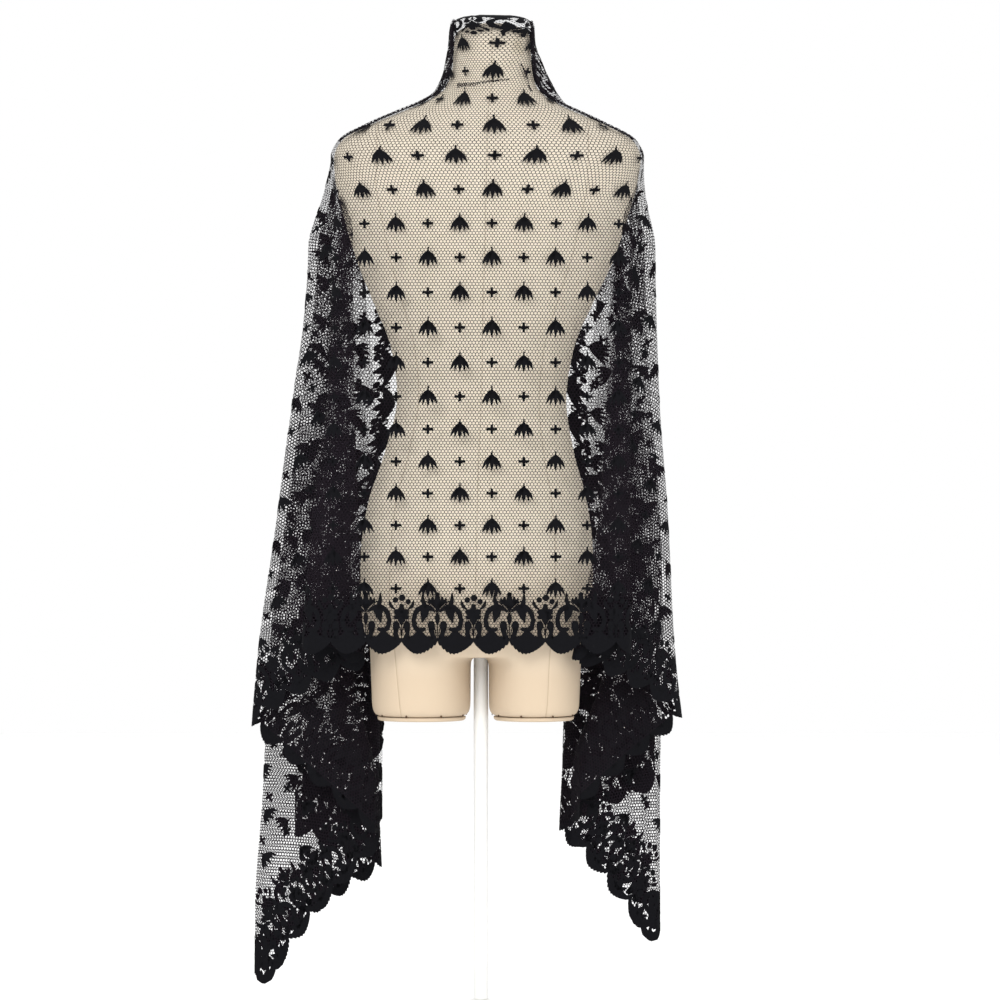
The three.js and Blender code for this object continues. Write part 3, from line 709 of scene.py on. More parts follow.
seams = {"seamLeft": -0.72, "seamMiddle": 0.0, "seamRight": 0.66}  # shares of the half width
canvasLook = {
    "thread": 0.8 * mm,
    "light": (0.74, 0.67, 0.56, 1),
    "dark": (0.66, 0.58, 0.46, 1),
    "low": (0.55, 0.44, 0.32, 1),  # painted shade: the canvas drawn darker towards the thighs
    "shadeFullBelow": 0.44,
    "shadeFadeOver": 0.16,
    "stain": (0.30, 0.25, 0.15, 1),
    "seam": (0.30, 0.22, 0.14, 1),
    "seamWide": 0.9,  # both in millimetres, as the seams' attributes are
    "grooveWide": 2.2,
}
stains = [
    {"at": (-0.014, -0.05, 1.228), "wide": 0.010},
    {"at": (-0.024, -0.05, 1.206), "wide": 0.009},
    {"at": (0.052, -0.04, 1.226), "wide": 0.016},
]


def canvasFinish():
    # plain woven cotton, slightly soiled, with painted shade towards the thighs and the form's
    # seams from its attributes
    finish = Finish("creamCanvas", Roughness=0.85, Specular_IOR_Level=0.2)
    x, y, z = finish.parts(finish.place())
    thread = 2 * math.pi / canvasLook["thread"]
    weave = ((x + y) * thread).wave() * 0.5 + (z * thread).wave() * 0.5
    soil = finish.noise(finish.place(), 7.0, 4.0)
    speck = finish.noise(finish.place(), 60.0, 3.0)
    tone = soil * 0.75 + speck * 0.25
    colour = finish.blend(tone, canvasLook["light"], canvasLook["dark"])
    # painted shade: the colour darkens below this height towards the thighs, standing in for less
    # light falling there
    low = 1 - ((z - canvasLook["shadeFullBelow"]) / canvasLook["shadeFadeOver"]).most(0.0).least(1.0)
    colour = finish.blend(low, colour, canvasLook["low"])
    for stain in stains:
        ends = {0: finish.place(), 1: stain["at"]}
        reach = finish.add("ShaderNodeVectorMath", {"operation": "DISTANCE"}, ends, "Value")
        near = 1 - ((reach + speck * 0.006) / (stain["wide"] + 0.003)).least(1.0)
        colour = finish.blend(near * 0.8, colour, canvasLook["stain"])
    seam = 9.0  # far from any seam
    for label in seams:
        seam = abs(finish.kept(label)).least(seam)
    line = 1 - (seam / canvasLook["seamWide"]).least(1.0)
    finish.set("Base Color", finish.blend(line * 0.55, colour, canvasLook["seam"]))
    finish.set("Roughness", 0.8 + speck * 0.15)
    groove = (seam / canvasLook["grooveWide"]).least(1.0)
    finish.bump(weave * 0.12 + groove * 2.0 + speck * 0.2, 0.5, 0.5 * mm)
    return finish.material


paintLook = {"clean": (0.80, 0.80, 0.78, 1), "worn": (0.72, 0.72, 0.70, 1)}
tackLook = {"dark": (0.05, 0.035, 0.025, 1), "rust": (0.16, 0.09, 0.05, 1)}


def paintFinish():
    finish = Finish("whitePowderCoat", Roughness=0.35)
    grain = finish.noise(finish.place(), 900.0, 2.0)
    worn = finish.noise(finish.place(), 14.0)
    finish.set("Base Color", finish.blend(worn, paintLook["clean"], paintLook["worn"]))
    finish.set("Roughness", 0.3 + worn * 0.2)
    finish.bump(grain, 0.25, 0.1 * mm)
    return finish.material


def tackFinish():
    finish = Finish("darkTack", Roughness=0.4, Metallic=0.9)
    rust = finish.noise(finish.place(), 700.0)
    finish.set("Base Color", finish.blend(rust, tackLook["dark"], tackLook["rust"]))
    finish.set("Roughness", 0.3 + rust * 0.4)
    return finish.material


net, lace, canvas = netFinish(), laceFinish(), canvasFinish()
paint, tackMetal = paintFinish(), tackFinish()
print("finishes made")

# The net

netMesh = {"step": 5.5, "inset": 16, "panels": 16}  # inset: the rim that the border covers


def flatUv(obj, flat):
    # the flat place of every corner, in metres, as the piece's own UV map
    layer = obj.data.uv_layers.new(name="flatCloth")
    corners = np.zeros(len(obj.data.loops), int)
    obj.data.loops.foreach_get("vertex_index", corners)
    layer.data.foreach_set("uv", (flat[corners] * mm).astype(np.float32).ravel())


def pointsOf(obj):
    points = np.zeros(len(obj.data.vertices) * 3)
    obj.data.vertices.foreach_get("co", points)
    return points.reshape(-1, 3)


def keepValues(obj, label, values):
    kept = obj.data.attributes.new(label, "FLOAT", "POINT")
    kept.data.foreach_set("value", np.asarray(values, np.float32))


gathering = {
    "tight": 0.9,  # share of the ridge's place where the bunching starts
    "tightOver": 30,
    "shoulderFrom": 185,
    "shoulderOver": 110,
    "frontFrom": 340,
    "frontEnd": 480,
    "frontOver": 90,
    "frontFine": 2.2,
}


def gatherAt(s, t):
    # the net bunches in the folds and in front of the shoulder ridge, and is fine on the front
    depth, along = levelOf(np.abs(s), t)
    ridge = through(yokeDepths, column(yoke, "ridge"), depth)
    yoked = ease((along - ridge * gathering["tight"]) / gathering["tightOver"])
    hung = ease((np.abs(s) - gathering["shoulderFrom"]) / gathering["shoulderOver"])
    front = ease((np.abs(s) - gathering["frontFrom"]) / gathering["frontOver"])
    front = front * ease((gathering["frontEnd"] - t) / gathering["frontOver"])
    return np.where(depth < 0, yoked, hung) - gathering["frontFine"] * front


def netPanel(index):
    low, high = -(cloth["left"] - netMesh["inset"]), cloth["right"] - netMesh["inset"]
    start = mix(low, high, index / netMesh["panels"])
    stop = mix(low, high, (index + 1) / netMesh["panels"])
    columns = int(math.ceil((stop - start) / netMesh["step"])) + 1
    rows = int(math.ceil((cloth["width"] - 2 * netMesh["inset"]) / netMesh["step"])) + 1
    across = np.linspace(start, stop, columns)
    down = np.linspace(netMesh["inset"], cloth["width"] - netMesh["inset"], rows)
    s, t = (places.ravel() for places in np.meshgrid(across, down))
    obj = meshObject(f"net_{index:02d}", worn(s, t), gridFaces(rows, columns))
    obj.data.flip_normals()
    keepValues(obj, "gathered", gatherAt(s, t))
    flatUv(obj, np.stack([s, t], 1))
    obj.data.materials.append(net)
    return obj


netPanels = [netPanel(i) for i in range(netMesh["panels"])]


def sideways(middle):
    # unit vectors across a middle line, in the flat
    tangent = np.gradient(middle, axis=0)
    tangent /= np.maximum(np.linalg.norm(tangent, axis=1), 1e-9)[:, None]
    return np.stack([-tangent[:, 1], tangent[:, 0]], 1)


pleats = [
    {"path": [(-37, 30), (-45, 70), (-50, 96), (-64, 122)], "wide": [10, 12, 10, 8], "layers": 4},
    {"path": [(-64, 122), (-82, 150), (-118, 187), (-168, 236)], "wide": [8, 7, 7, 4], "layers": 3},
    {"path": [(40, 34), (50, 78), (61, 113), (84, 150)], "wide": [7, 6, 6, 6], "layers": 4},
    {"path": [(84, 150), (118, 186), (166, 234)], "wide": [6, 5, 4], "layers": 3},
    {"path": [(-42, 152), (-20, 152), (8, 148), (34, 143)], "wide": [9, 7, 5, 1.5], "layers": 2},
    {"path": [(40, 118), (54, 140), (66, 162)], "wide": [1.5, 2.4, 1.5], "layers": 2},
]


pleatShape = {
    "steps": 26,
    "narrower": 0.13,  # each layer against the one below
    "uneven": 0.16,
    "lift": 0.7,
    "layer": 0.8,
    "arch": [0, 0.8, 1.2, 0.8, 0],
    "turn": 0.7,
    "gathered": 1.6,
    "core": 0.42,
}


def pleatLayer(name, pleat, layer, part=1.0, material=net):
    steps = pleatShape["steps"]
    share = np.linspace(0, 1, steps + 1)
    knots = np.linspace(0, 1, len(pleat["path"]))
    middle = np.stack([through(knots, [p[k] for p in pleat["path"]], share) for k in (0, 1)], 1)
    wide = through(knots, pleat["wide"], share) * (1 - pleatShape["narrower"] * layer) * part
    wide = wide * (1 + pleatShape["uneven"] * np.sin(share * 17 + layer * 1.9))
    side = sideways(middle)
    rows = [middle + side * (wide * across / 2)[:, None] for across in (-1, -0.5, 0, 0.5, 1)]
    flat = np.concatenate(rows)
    arch = np.repeat(pleatShape["arch"], steps + 1)
    rise = pleatShape["lift"] + pleatShape["layer"] * layer + arch
    obj = meshObject(name, worn(*flat.T, rise), gridFaces(len(rows), steps + 1))
    # each layer's net lies turned and shifted against the one below
    angle = 0.5 + pleatShape["turn"] * layer
    x, y = flat.T
    turnedX = x * math.cos(angle) - y * math.sin(angle)
    turnedY = x * math.sin(angle) + y * math.cos(angle) + 1.7 * layer
    flatUv(obj, np.stack([turnedX, turnedY], 1))
    keepValues(obj, "gathered", np.full(len(flat), pleatShape["gathered"]))
    obj.data.materials.append(material)
    return obj


netPleats = [
    pleatLayer(f"pleat_{i}_{layer}", pleat, layer)
    for i, pleat in enumerate(pleats)
    for layer in range(pleat["layers"])
]
core = pleatShape["core"]
ridgePleats = [pleat for pleat in pleats if pleat["layers"] > 2]
netPleats += [pleatLayer(f"pleat_core_{i}", p, 0, core, lace) for i, p in enumerate(ridgePleats)]
print("net made:", sum(len(p.data.polygons) for p in netPanels), "faces")

# Worked motifs, drawn flat and then worn


class Drawing:
    # flat shapes in millimetres, x along the cloth's edge and y up the motif
    def __init__(self, name):
        self.name, self.points, self.faces = name, [], []

    def leaf(self, path, widths, steps):
        # a shape with a bent middle line and a width at each of its places
        knots = np.linspace(0, 1, len(path))
        at = np.linspace(0, 1, steps + 1)
        middle = np.stack([through(knots, [p[k] for p in path], at) for k in (0, 1)], 1)
        wide = through(np.linspace(0, 1, len(widths)), widths, at) / 2
        wide = wide * (1 + 0.09 * np.sin(2.4 * np.arange(steps + 1) + len(self.points)))
        side = sideways(middle)
        first = len(self.points)
        for k in range(steps + 1):
            for share in (-1, 0, 1):
                self.points.append(middle[k] + side[k] * wide[k] * share)
        self.faces += [tuple(first + i for i in f) for f in gridFaces(steps + 1, 3)]

    def both(self, path, widths, steps):
        self.leaf(path, widths, steps)
        self.leaf([(-x, y) for x, y in path], widths, steps)

    def disc(self, x, y, radius, tall=1.0, sides=10):
        first = len(self.points)
        self.points.append(np.array([x, y]))
        for k in range(sides):
            a = 2 * math.pi * k / sides
            rim = [x + radius * math.cos(a), y + radius * tall * math.sin(a)]
            self.points.append(np.array(rim))
            self.faces.append((first, first + 1 + k, first + 1 + (k + 1) % sides))

    def discs(self, x, y, radius, tall, sides):
        for side in (-1, 1):
            self.disc(x * side, y, radius, tall, sides)

    def band(self, low, high, edge, inner, step, rows=3):
        # a solid strip between two edge lines
        places = np.linspace(low, high, int(round((high - low) / step)) + 1)
        first = len(self.points)
        for share in np.linspace(0, 1, rows + 1):
            for x in places:
                self.points.append(np.array([x, mix(edge(x), inner(x), share)]))
        self.faces += [tuple(first + i for i in f) for f in gridFaces(rows + 1, len(places))]

    def template(self):
        obj = meshObject(self.name, [(p[0], p[1], 0) for p in self.points], self.faces)
        obj.hide_render = True
        return obj


def bellMotif(drawing):
    drawing.leaf([(0.3, 12.8), (0, 7)], [1.6, 2.2], 2)  # stem
    drawing.leaf([(0, 8.6), (0, 5), (0, 0), (0, -5.5), (0, -11.6)], [2.8, 6, 6.2, 4, 0.6], 10)
    drawing.both([(1.2, 5.6), (3.4, 1.6), (5.2, -3.4), (6.6, -10.2)], [3.6, 5, 3.6, 0.6], 8)
    drawing.both([(1.2, 6.6), (4.2, 3), (8.2, -1.8), (11.8, -8.6)], [2.6, 4.8, 4.2, 0.6], 8)


def crossMotif(drawing):
    drawing.leaf([(-6.8, 0.3), (-3, 0), (0, 0), (3, 0), (6.8, 0.3)], [3.5, 3.4, 4.2, 3.4, 3.5], 8)
    drawing.leaf([(0, 5.8), (0, 2.6), (0, 0), (0, -2.6), (0, -5.8)], [3.3, 3.4, 4, 3.4, 3], 8)


scallop = {"pitch": 45, "depth": 14.5, "shift": 36, "picot": 4.5, "step": 1.5}


def scallopEdge(x):
    # lobes with their lowest point halfway between two notches, and a ragged rim
    lean = x + 2.6 * math.sin(math.pi * x / scallop["pitch"]) ** 2
    wave = abs(math.sin(math.pi * lean / scallop["pitch"]))
    ragged = 0.7 * math.cos(2 * math.pi * x / scallop["picot"]) + 0.6 * math.cos(1.31 * x)
    return scallop["depth"] * (1 - wave**0.9) + 1.2 + ragged


def bandInner(x):
    # low at the notches, with a peak over the middle of each lobe
    lobe = abs(math.sin(math.pi * x / scallop["pitch"]))
    return 20.6 + 2.6 * float(ease(lobe / 0.55)) + 5.6 * float(ease((lobe - 0.8) / 0.2))


def palmetteMotif(drawing):
    # half of the border's repeat: crown, horns and mirrored scroll leaves, y up from the edge
    drawing.leaf([(0, 52.5), (0, 58), (0, 65), (0, 71), (0, 76.4)], [1.4, 6.5, 9, 6, 3.6], 8)
    drawing.disc(0, 74, 3.2)
    drawing.both([(0.8, 57), (3.6, 62), (6.4, 66), (5.8, 71.5)], [3, 6, 5.4, 2], 6)
    drawing.both([(2.4, 59), (6.5, 63.6), (10, 66), (10.6, 70)], [3, 4.6, 4.4, 1.4], 6)
    drawing.both(
        [(0.4, 50.5), (3, 55), (7.5, 59.5), (12.5, 64.5), (15, 66)],
        [1, 1.1, 1.1, 1.2, 2],
        8,
    )
    drawing.both([(13.5, 58), (16.8, 63), (18.4, 69), (18.2, 76.6)], [4, 5.6, 4.6, 1], 7)  # horns
    drawing.both(
        [(2.6, 52.4), (8, 56.6), (15, 59), (22, 57), (27.6, 51), (29.8, 42)],
        [0.8, 4.6, 7, 6.8, 6, 5.4],
        12,
    )
    drawing.both(
        [(29.8, 43), (28.2, 35), (23.4, 30.6), (17.6, 31), (15.2, 33.4)],
        [5.4, 6.2, 6, 5, 3.4],
        9,
    )
    drawing.both([(15.5, 59), (16.2, 51), (18, 44.5), (19.4, 39)], [14, 10.5, 5.5, 0.8], 8)  # hooks
    drawing.leaf([(0, 52), (0, 46), (0, 41), (0, 36)], [1, 6.6, 5, 0.6], 7)
    drawing.leaf([(0, 38), (0, 20)], [1.1, 1.3], 2)
    drawing.discs(7.6, 36, 4.7, 1.28, 14)
    drawing.both([(7.8, 33), (6.6, 27), (4.4, 20)], [8, 6, 6.6], 4)
    drawing.both([(1.6, 19), (1.9, 27), (3.8, 34)], [1.4, 1.2, 1.4], 5)


def blossomMotif(drawing):
    # the other half: a five-lobed blossom under an arc of dots
    drawing.leaf([(0.6, 62.5), (0, 58), (0, 51)], [4.4, 7, 6], 5)
    drawing.both([(1, 51), (5, 52.6), (9.6, 52)], [8, 8.6, 4], 5)
    drawing.leaf([(0, 53), (0, 47), (0, 41), (0, 35.6)], [11, 11.5, 7, 1], 7)
    drawing.both([(2, 47), (6.6, 46.4), (9.4, 45.6)], [5, 6, 3.2], 4)
    drawing.disc(0.8, 70, 4.2, 1, 12)
    drawing.disc(8.4, 65.4, 3.4, 1, 12)
    drawing.disc(-7.6, 67.4, 3.6, 1, 12)
    drawing.both([(15.4, 67.5), (13.6, 61), (7.6, 55.4)], [0.8, 4.2, 1.4], 7)
    drawing.leaf([(0, 38), (0, 20)], [1.1, 1.3], 2)
    drawing.both([(0.6, 24), (1.2, 31), (3.4, 37), (6.6, 43)], [1, 1.1, 1.2, 1.2], 6)
    drawing.discs(6.6, 35.6, 4.5, 1.35, 14)
    drawing.both([(7.2, 32), (7.4, 27), (6, 20)], [7, 5.4, 8], 4)


def bandPiece(drawing):
    # one full repeat of the scalloped edge
    pitch = scallop["pitch"]
    drawing.band(-pitch, pitch, scallopEdge, bandInner, scallop["step"])


def openInner(x):
    rim = 10 + 1.6 * math.cos(8 * math.pi * x / scallop["pitch"])
    return max(scallopEdge(x) + rim, 17.2)


def openBandPiece(drawing):
    # the same scallops worked as a rim, with a bud in each lobe and net round it
    pitch = scallop["pitch"]
    drawing.band(-pitch, pitch, scallopEdge, openInner, scallop["step"])
    for x in (-pitch / 2, pitch / 2):
        drawing.leaf([(x, 12), (x, 18), (x, 24), (x, 31)], [6, 10, 8, 1], 7)
        for side in (-1, 1):
            drawing.leaf([(x, 14), (x + 7 * side, 18.5), (x + 11 * side, 25)], [3, 5.6, 1.4], 6)
    for x in (-pitch, 0, pitch):
        for side in (-1, 1):
            drawing.disc(x + 6 * side, 26, 4.2, 1.2, 12)


def cornerMotif(drawing):
    # three open lobes and a leaf that close a corner of the border; x and y run inwards
    def lobe(x, y, radius, start, stop, width):
        angles = [math.radians(mix(start, stop, k / 6)) for k in range(7)]
        path = [(x + radius * math.cos(a), y + radius * math.sin(a)) for a in angles]
        drawing.leaf(path, [width * 0.7, width, width, width * 0.7], 16)

    lobe(20, 20, 13.5, 90, 360, 11)
    lobe(41, 15.5, 11, 165, 380, 9)
    lobe(15.5, 41, 11, 70, 285, 9)
    drawing.disc(22, 22, 5.4, 1, 14)
    drawing.leaf([(24, 24), (36, 36), (44, 44), (52, 52)], [9, 10, 7, 1], 7)
    drawing.leaf([(30, 30), (44, 32), (56, 40)], [6, 6, 1], 6)
    drawing.leaf([(30, 30), (32, 44), (40, 56)], [6, 6, 1], 6)


drawings = {
    "bell": bellMotif,
    "cross": crossMotif,
    "palmette": palmetteMotif,
    "blossom": blossomMotif,
    "band": bandPiece,
    "open": openBandPiece,
    "corner": cornerMotif,
}
templates = {}
for name, draw in drawings.items():
    drawing = Drawing(f"{name}Template")
    draw(drawing)
    templates[name] = drawing.template()

spots = {
    "rows": 18,
    "columns": 26,  # to either side of the middle
    "first": 87,
    "rowStep": 40.8,
    "bow": 11,
    "spacing": 80,
    "centre": 14,
    "clear": 12,  # of the border
    "collarTall": 1.22,  # drawn taller above the shoulder, where the cloth is gathered in
}
# along the front edges the border is drawn narrower, between these places
narrow = {"start": 330, "stop": 760, "taper": 90, "size": 0.4}


def narrowAt(s):
    away = max(narrow["start"] - abs(s), abs(s) - narrow["stop"])
    return mix(narrow["size"], 1, float(ease(away / narrow["taper"])))


def spotPlaces():
    # bells and crosses by turns, in rows that bow a little
    bells, crosses = [], []
    clear = cloth["border"] + spots["clear"]
    for k in range(-1, spots["rows"]):
        bow = spots["bow"] * math.sin(math.pi * k / (spots["rows"] - 1))
        t = spots["first"] + spots["rowStep"] * k + bow
        for m in range(-spots["columns"], spots["columns"] + 1):
            s = spots["centre"] + spots["spacing"] / 2 * m
            if k < 0 and narrowAt(s) > narrow["size"]:
                continue  # the full border lies here
            if clear - cloth["left"] < s < cloth["right"] - clear:
                (bells if (m + k) % 2 == 1 else crosses).append((s, t, 0))
    return bells, crosses


def wear(obj, lift):
    # takes a flat drawing of millimetres to its worn place; y is down the cloth
    flat = pointsOf(obj)[:, :2]
    places = worn(*flat.T, lift).astype(np.float32)
    obj.data.vertices.foreach_set("co", places.ravel())
    flatUv(obj, flat)
    obj.data.update()
    return obj


halfTurn, quarterTurn = math.pi, math.pi / 2
workedLift = 0.35
worked = []
for name, key, places in zip(("bells", "crosses"), ("bell", "cross"), spotPlaces()):
    turns = [(halfTurn, 0, 0)] * len(places)
    collarTall = spots["collarTall"]
    sizes = [(1, collarTall if t < cloth["shoulderT"] else 1, 1) for _, t, _ in places]
    worked.append(wear(scatter(name, templates[key], places, turns, lace, sizes), workedLift))

border = {
    "edges": ("hem", "collar", "left", "right"),
    "repeats": 12,  # to either side of the middle
    "endRepeats": 5,
    "hemBand": 300,  # the closed band's reach; the open one lies beyond it
    "collarBand": 60,
    "endClear": 16,
    "sideClear": 14,
    "corner": 34,  # radius of the cloth's corners
    "cornerLift": 0.2,  # more than the border, which the corners overlap
}


def borderPlaces(kind):
    # palmettes and blossoms by turns along all four edges, bands right round
    placed = {edge: [] for edge in border["edges"]}
    pitch = 2 * scallop["pitch"]
    offset = scallop["pitch"] if kind == "blossom" else 0
    edging = kind in ("band", "open")
    for m in range(-border["repeats"], border["repeats"] + 1):
        s = scallop["shift"] + offset + pitch * m
        reach = cloth["right"] if s > 0 else cloth["left"]
        if abs(s) < reach + (scallop["pitch"] if edging else -border["endClear"]):
            if not edging or (kind == "band") == (abs(s) < border["hemBand"]):
                placed["hem"].append(((s, cloth["width"], 0), (halfTurn, 0, 0)))
            if not edging or (kind == "band") == (abs(s) < border["collarBand"]):
                placed["collar"].append(((s, 0, 0), (0, 0, 0)))
    clear = cloth["border"] + border["sideClear"]
    for m in range(-border["endRepeats"], border["endRepeats"]):
        t = cloth["width"] / 2 + offset + pitch * m
        if kind == "open" or (not edging and clear < t < cloth["width"] - clear):
            placed["left"].append(((-cloth["left"], t, 0), (0, 0, -quarterTurn)))
            placed["right"].append(((cloth["right"], t, 0), (0, 0, quarterTurn)))
    return placed


borderParts = {edge: [] for edge in border["edges"]}
for kind in ("palmette", "blossom", "band", "open"):
    for edge, placed in borderPlaces(kind).items():
        if not placed:
            continue
        places, turns = zip(*placed)
        sizes = None
        if edge == "collar" and kind in ("palmette", "blossom"):
            sizes = [(narrowAt(s), narrowAt(s), 1) for s, _, _ in places]
        part = scatter(f"{edge}_{kind}", templates[kind], places, turns, lace, sizes)
        borderParts[edge].append(part)


def trimmed(obj):
    # drops what runs past the cloth's own outline
    work = bmesh.new()
    work.from_mesh(obj.data)
    corner = border["corner"]

    def outside(v):
        past = max(-cloth["left"] - v.co.x, v.co.x - cloth["right"]) + corner
        over = max(-v.co.y, v.co.y - cloth["width"]) + corner
        return max(past, over) > corner or (min(past, over) > 0 and math.hypot(past, over) > corner)

    bmesh.ops.delete(work, geom=[v for v in work.verts if outside(v)], context="VERTS")
    work.to_mesh(obj.data)
    work.free()
    return obj


def joined(name, parts):
    with bpy.context.temp_override(active_object=parts[0], selected_editable_objects=parts):
        bpy.ops.object.join()
    parts[0].name = name
    return parts[0]


for edge, parts in borderParts.items():
    worked.append(wear(trimmed(joined(f"border_{edge}", parts)), workedLift))
low, high = -cloth["left"], cloth["right"]
cornerPlaces = [(low, 0, 0), (high, 0, 0), (high, cloth["width"], 0), (low, cloth["width"], 0)]
cornerTurns = [(0, 0, halfTurn / 2 * k) for k in range(4)]
corners = scatter("corners", templates["corner"], cornerPlaces, cornerTurns, lace)
worked.append(wear(corners, workedLift + border["cornerLift"]))
for template in templates.values():
    bpy.data.objects.remove(template)
print("lace work made:", sum(len(p.data.polygons) for p in worked), "faces")

# The dress form

formMesh = {
    "sides": 96,
    "rings": 110,
    "domeRings": 10,
    "voxel": 4 * mm,
    "smoothing": 14,
    "under": 0.86,  # how far the torso's lower end is drawn in
    "underHeight": 32,
}


def formRing(row, z):
    angle = np.linspace(0, 360, formMesh["sides"], endpoint=False)
    x, y = aroundForm(row, angle, 0)
    return np.stack([row["centre"] + x, y, np.full_like(x, z)], 1) * mm


def insetRow(row, inset, scale=1.0):
    return {**row, **{name: (row[name] - inset) * scale for name in sizeNames}}


def torsoRings():
    rings = []
    inset = form["skinInset"]
    for z in np.linspace(form["crotch"], form["neckTop"] - 1, formMesh["rings"]):
        under = mix(formMesh["under"], 1, ease((z - form["crotch"]) / formMesh["underHeight"]))
        rings.append(formRing(insetRow(formAt(z), inset, under), z))
    neck = formAt(form["neckTop"])
    for share in np.sin(np.linspace(0.1, 1.5, formMesh["domeRings"])):
        z = form["neckTop"] + (form["dome"] - inset) * share
        rings.append(formRing(insetRow(neck, inset, math.sqrt(1 - share * share)), z))
    return rings


thighShape = {"top": 520, "tuckHeight": 8, "apart": 2, "square": 2.2}
thighSwell = {"half": 3, "back": 24, "front": 16}  # from the thigh's end up to its top


def thighRow(thigh, z, low):
    over = thighShape["tuckHeight"]
    grow = -thigh["tuck"] * (1 - (z - low) / over) ** 2 if z - low < over else 0
    rise = between((z - form["thighEnd"]) / (thighShape["top"] - form["thighEnd"]))
    row = {name: thigh[name] + grow + swell * rise for name, swell in thighSwell.items()}
    centre = thigh["centre"] + math.copysign(thighShape["apart"], thigh["centre"]) * rise
    return {**row, "centre": centre, "square": thighShape["square"]}


def formBody():
    low = form["thighEnd"] + form["cap"] + 0.3
    body = loft("form_skin", torsoRings())
    parts = [body]
    tucked = low + thighShape["tuckHeight"]
    heights = [*np.linspace(low, tucked, 5)[:-1], *np.linspace(tucked, thighShape["top"], 24)]
    for side, thigh in thighs.items():
        parts.append(loft(f"thigh_{side}", [formRing(thighRow(thigh, z, low), z) for z in heights]))
    joined("form_skin", parts)
    remesh = body.modifiers.new("One skin", "REMESH")
    remesh.mode, remesh.voxel_size, remesh.use_smooth_shade = "VOXEL", formMesh["voxel"], True
    soften = body.modifiers.new("Soft joins", "SMOOTH")
    soften.factor, soften.iterations = 0.5, formMesh["smoothing"]
    finished(body)
    seamLines(body)
    body.data.materials.append(canvas)
    return body


chestHeight = 1050  # above it the seams run straight up


def seamLines(body):
    # signed distance in millimetres from each upright seam, kept on the form's points
    x, y, z = pointsOf(body).T / mm
    row = formAt(np.clip(z, formRows[0]["height"], form["neckTop"]))
    wide = np.where(z > chestHeight, formAt(float(chestHeight))["half"], row["half"])
    for label, share in seams.items():
        away = x - row["centre"] - share * wide
        if share == 0:
            # the middle one ends at the crotch
            away = away + np.sign(away) * np.maximum(form["crotch"] + 30 - z, 0)
        keepValues(body, label, away)


skin = formBody()
print("form made:", len(skin.data.polygons), "faces")


capProfile = [(14, 388), (8, 388.4), (6.4, 389.6), (6, 391), (6, 393)]  # inset and height


def thighCap(side):
    row = {**thighs[side], "square": thighShape["square"]}
    rings = [formRing(insetRow(row, inset), z) for inset, z in capProfile]
    cap = loft(f"thigh_cap_{side}", rings)
    for label in seams:
        keepValues(cap, label, np.full(len(cap.data.vertices), 50))  # no seam near
    cap.data.materials.append(canvas)
    return cap


caps = {side: thighCap(side) for side in thighs}

tacks = {"radius": 1.5, "high": 1.1, "height": 395, "spacing": 46, "sides": 10, "sunk": 0.8}


def roundRing(radius, z, sides):
    angle = np.linspace(0, 2 * math.pi, sides, endpoint=False)
    return np.stack([radius * np.cos(angle), radius * np.sin(angle), np.full(sides, z)], 1) * mm


def tackTemplate():
    rings = []
    for share in (0.0, 0.5, 0.85):
        radius = tacks["radius"] * math.sqrt(1 - share * share)
        rings.append(roundRing(radius, share * tacks["high"], tacks["sides"]))
    obj = loft("tackTemplate", rings)
    obj.hide_render = True
    return obj


def tackRing(side, template):
    # small tacks that hold the canvas round the end of a thigh
    places, turns = [], []
    row = thighRow(thighs[side], tacks["height"], form["thighEnd"] + form["cap"])
    count = int(round(math.pi * (row["half"] + row["back"]) / tacks["spacing"]))
    for k in range(count):
        angle = 360 * (k + 0.35) / count
        x, y = (float(v) for v in aroundForm(row, np.array(angle), -tacks["sunk"]))
        places.append(((row["centre"] + x) * mm, y * mm, tacks["height"] * mm))
        outwards = math.atan2(y / row["back"] ** 2, x / row["half"] ** 2)
        turns.append((0, quarterTurn, outwards))
    return scatter(f"tacks_{side}", template, places, turns, tackMetal)


tackShape = tackTemplate()
tackRings = {side: tackRing(side, tackShape) for side in thighs}
bpy.data.objects.remove(tackShape)

# The stand

stand = {
    "pole": 9,
    "base": 175,
    "thick": 12,
    "hub": 24,
    "hubHeight": 28,
    "seat": 0.3,  # the pole stands this far above the hub
    "middle": 300,
    "socketTop": 527.7,
}


def turnedBody(name, profile, sides, material):
    # a body of revolution round the pole's line, from the profile's foot up
    obj = loft(name, [roundRing(radius, z, sides) for radius, z in profile])
    bevelled = obj.modifiers.new("Edges", "EDGE_SPLIT")
    bevelled.split_angle = math.radians(40)
    finished(obj)
    obj.data.materials.append(material)
    return obj


thick, hubTop = stand["thick"], stand["thick"] + stand["hubHeight"]
baseProfile = [
    (0.5, 0),
    (stand["base"] - 1.5, 0),
    (stand["base"], 1.5),
    (stand["base"], thick - 4),
    (stand["base"] - 0.8, thick - 1.6),
    (stand["base"] - 4, thick),
    (stand["hub"] + 6, thick),
    (stand["hub"] + 2, thick + 1.5),
    (stand["hub"], thick + 6),
    (stand["pole"] + 7, hubTop - 3),
    (stand["pole"] + 4, hubTop),
    (0.5, hubTop),
]
standBase = turnedBody("stand_foot", baseProfile, 128, paint)
poleHeights = (hubTop + stand["seat"], stand["middle"], stand["socketTop"])
poleProfile = [(stand["pole"], z) for z in poleHeights]
standPole = turnedBody("stand_tube", poleProfile, 48, paint)
print("stand made")

# What each piece stands for

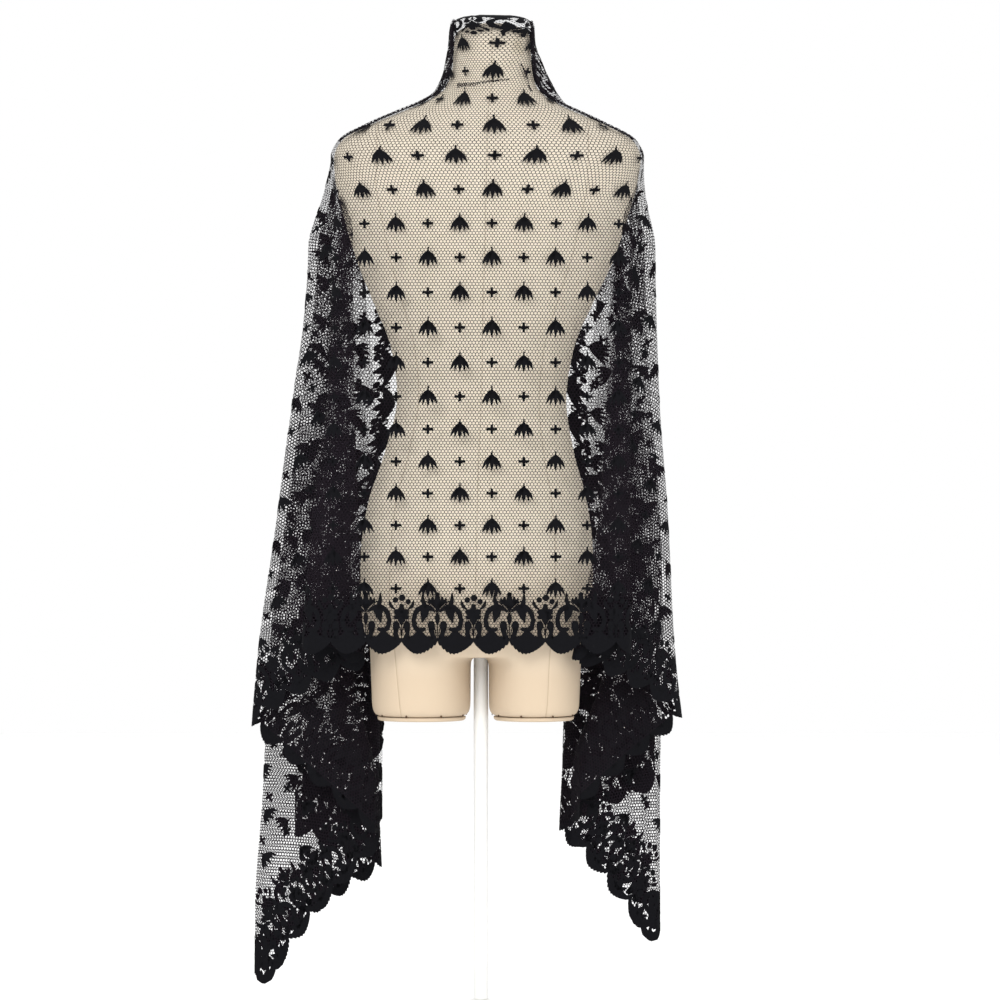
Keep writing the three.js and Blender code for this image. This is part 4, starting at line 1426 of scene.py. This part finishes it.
for obj in [*netPanels, *netPleats, *worked]:
    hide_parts("shawl")
    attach(obj, "root")
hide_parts("form_body")
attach(skin, "root")
for side in thighs:
    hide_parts(f"form_thigh_cap_{side}")
    for obj in (caps[side], tackRings[side]):
        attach(obj, "root")
for obj, node in ((standBase, "stand_base"), (standPole, "stand_pole")):
    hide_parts(node)
    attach(obj, "root")

for obj in [*netPanels, *netPleats]:
    obj.visible_shadow = False  # its threads are too fine to shade the canvas

# Stage, light and camera

scene = bpy.context.scene
floor = meshObject("floor", [(-9, -9, 0), (9, -9, 0), (9, 9, 0), (-9, 9, 0)], [(0, 1, 2, 3)])
floorFinish = Finish("paleFloor", Roughness=0.9, Base_Color=(0.96, 0.96, 0.96, 1))
floor.data.materials.append(floorFinish.material)

scene.world = bpy.data.worlds.new("studio")
scene.world.use_nodes = True
backdrop = scene.world.node_tree.nodes["Background"]
backdrop.inputs["Color"].default_value = (1, 1, 1, 1)
backdrop.inputs["Strength"].default_value = 1.0

lamps = [
    {"name": "key", "at": (-0.9, -3.4, 2.0), "to": (0, 0, 0.95), "size": 1.6, "watts": 60},
    {"name": "fill", "at": (1.8, -3.2, 1.5), "to": (0, 0, 0.8), "size": 2.2, "watts": 26},
    {"name": "overhead", "at": (0, 1.0, 4.5), "to": (0, 1.0, 0), "size": 7, "watts": 90},
]


def aim(obj, target):
    x, y, z = (t - p for t, p in zip(target, obj.location))
    obj.rotation_euler = (quarterTurn + math.atan2(z, math.hypot(x, y)), 0, math.atan2(-x, y))


for lamp in lamps:
    light = bpy.data.lights.new(lamp["name"], "AREA")
    light.energy, light.size = lamp["watts"], lamp["size"]
    obj = bpy.data.objects.new(lamp["name"], light)
    obj.location = lamp["at"]
    aim(obj, lamp["to"])
    scene.collection.objects.link(obj)

view = {"distance": 7.0, "lens": 202, "x": 0.0238, "z": 0.6625, "clip": 60}
camera = bpy.data.objects.new("camera", bpy.data.cameras.new("camera"))
camera.data.lens, camera.data.clip_end = view["lens"], view["clip"]
camera.location = (view["x"], -view["distance"], view["z"])
camera.rotation_euler = (quarterTurn, 0, 0)
scene.collection.objects.link(camera)
scene.camera = camera

scene.view_settings.view_transform = "Standard"
scene.cycles.transparent_max_bounces = 48  # the net lies in many layers
scene.cycles.max_bounces = 6
scene.cycles.diffuse_bounces = 3

print("scene ready")
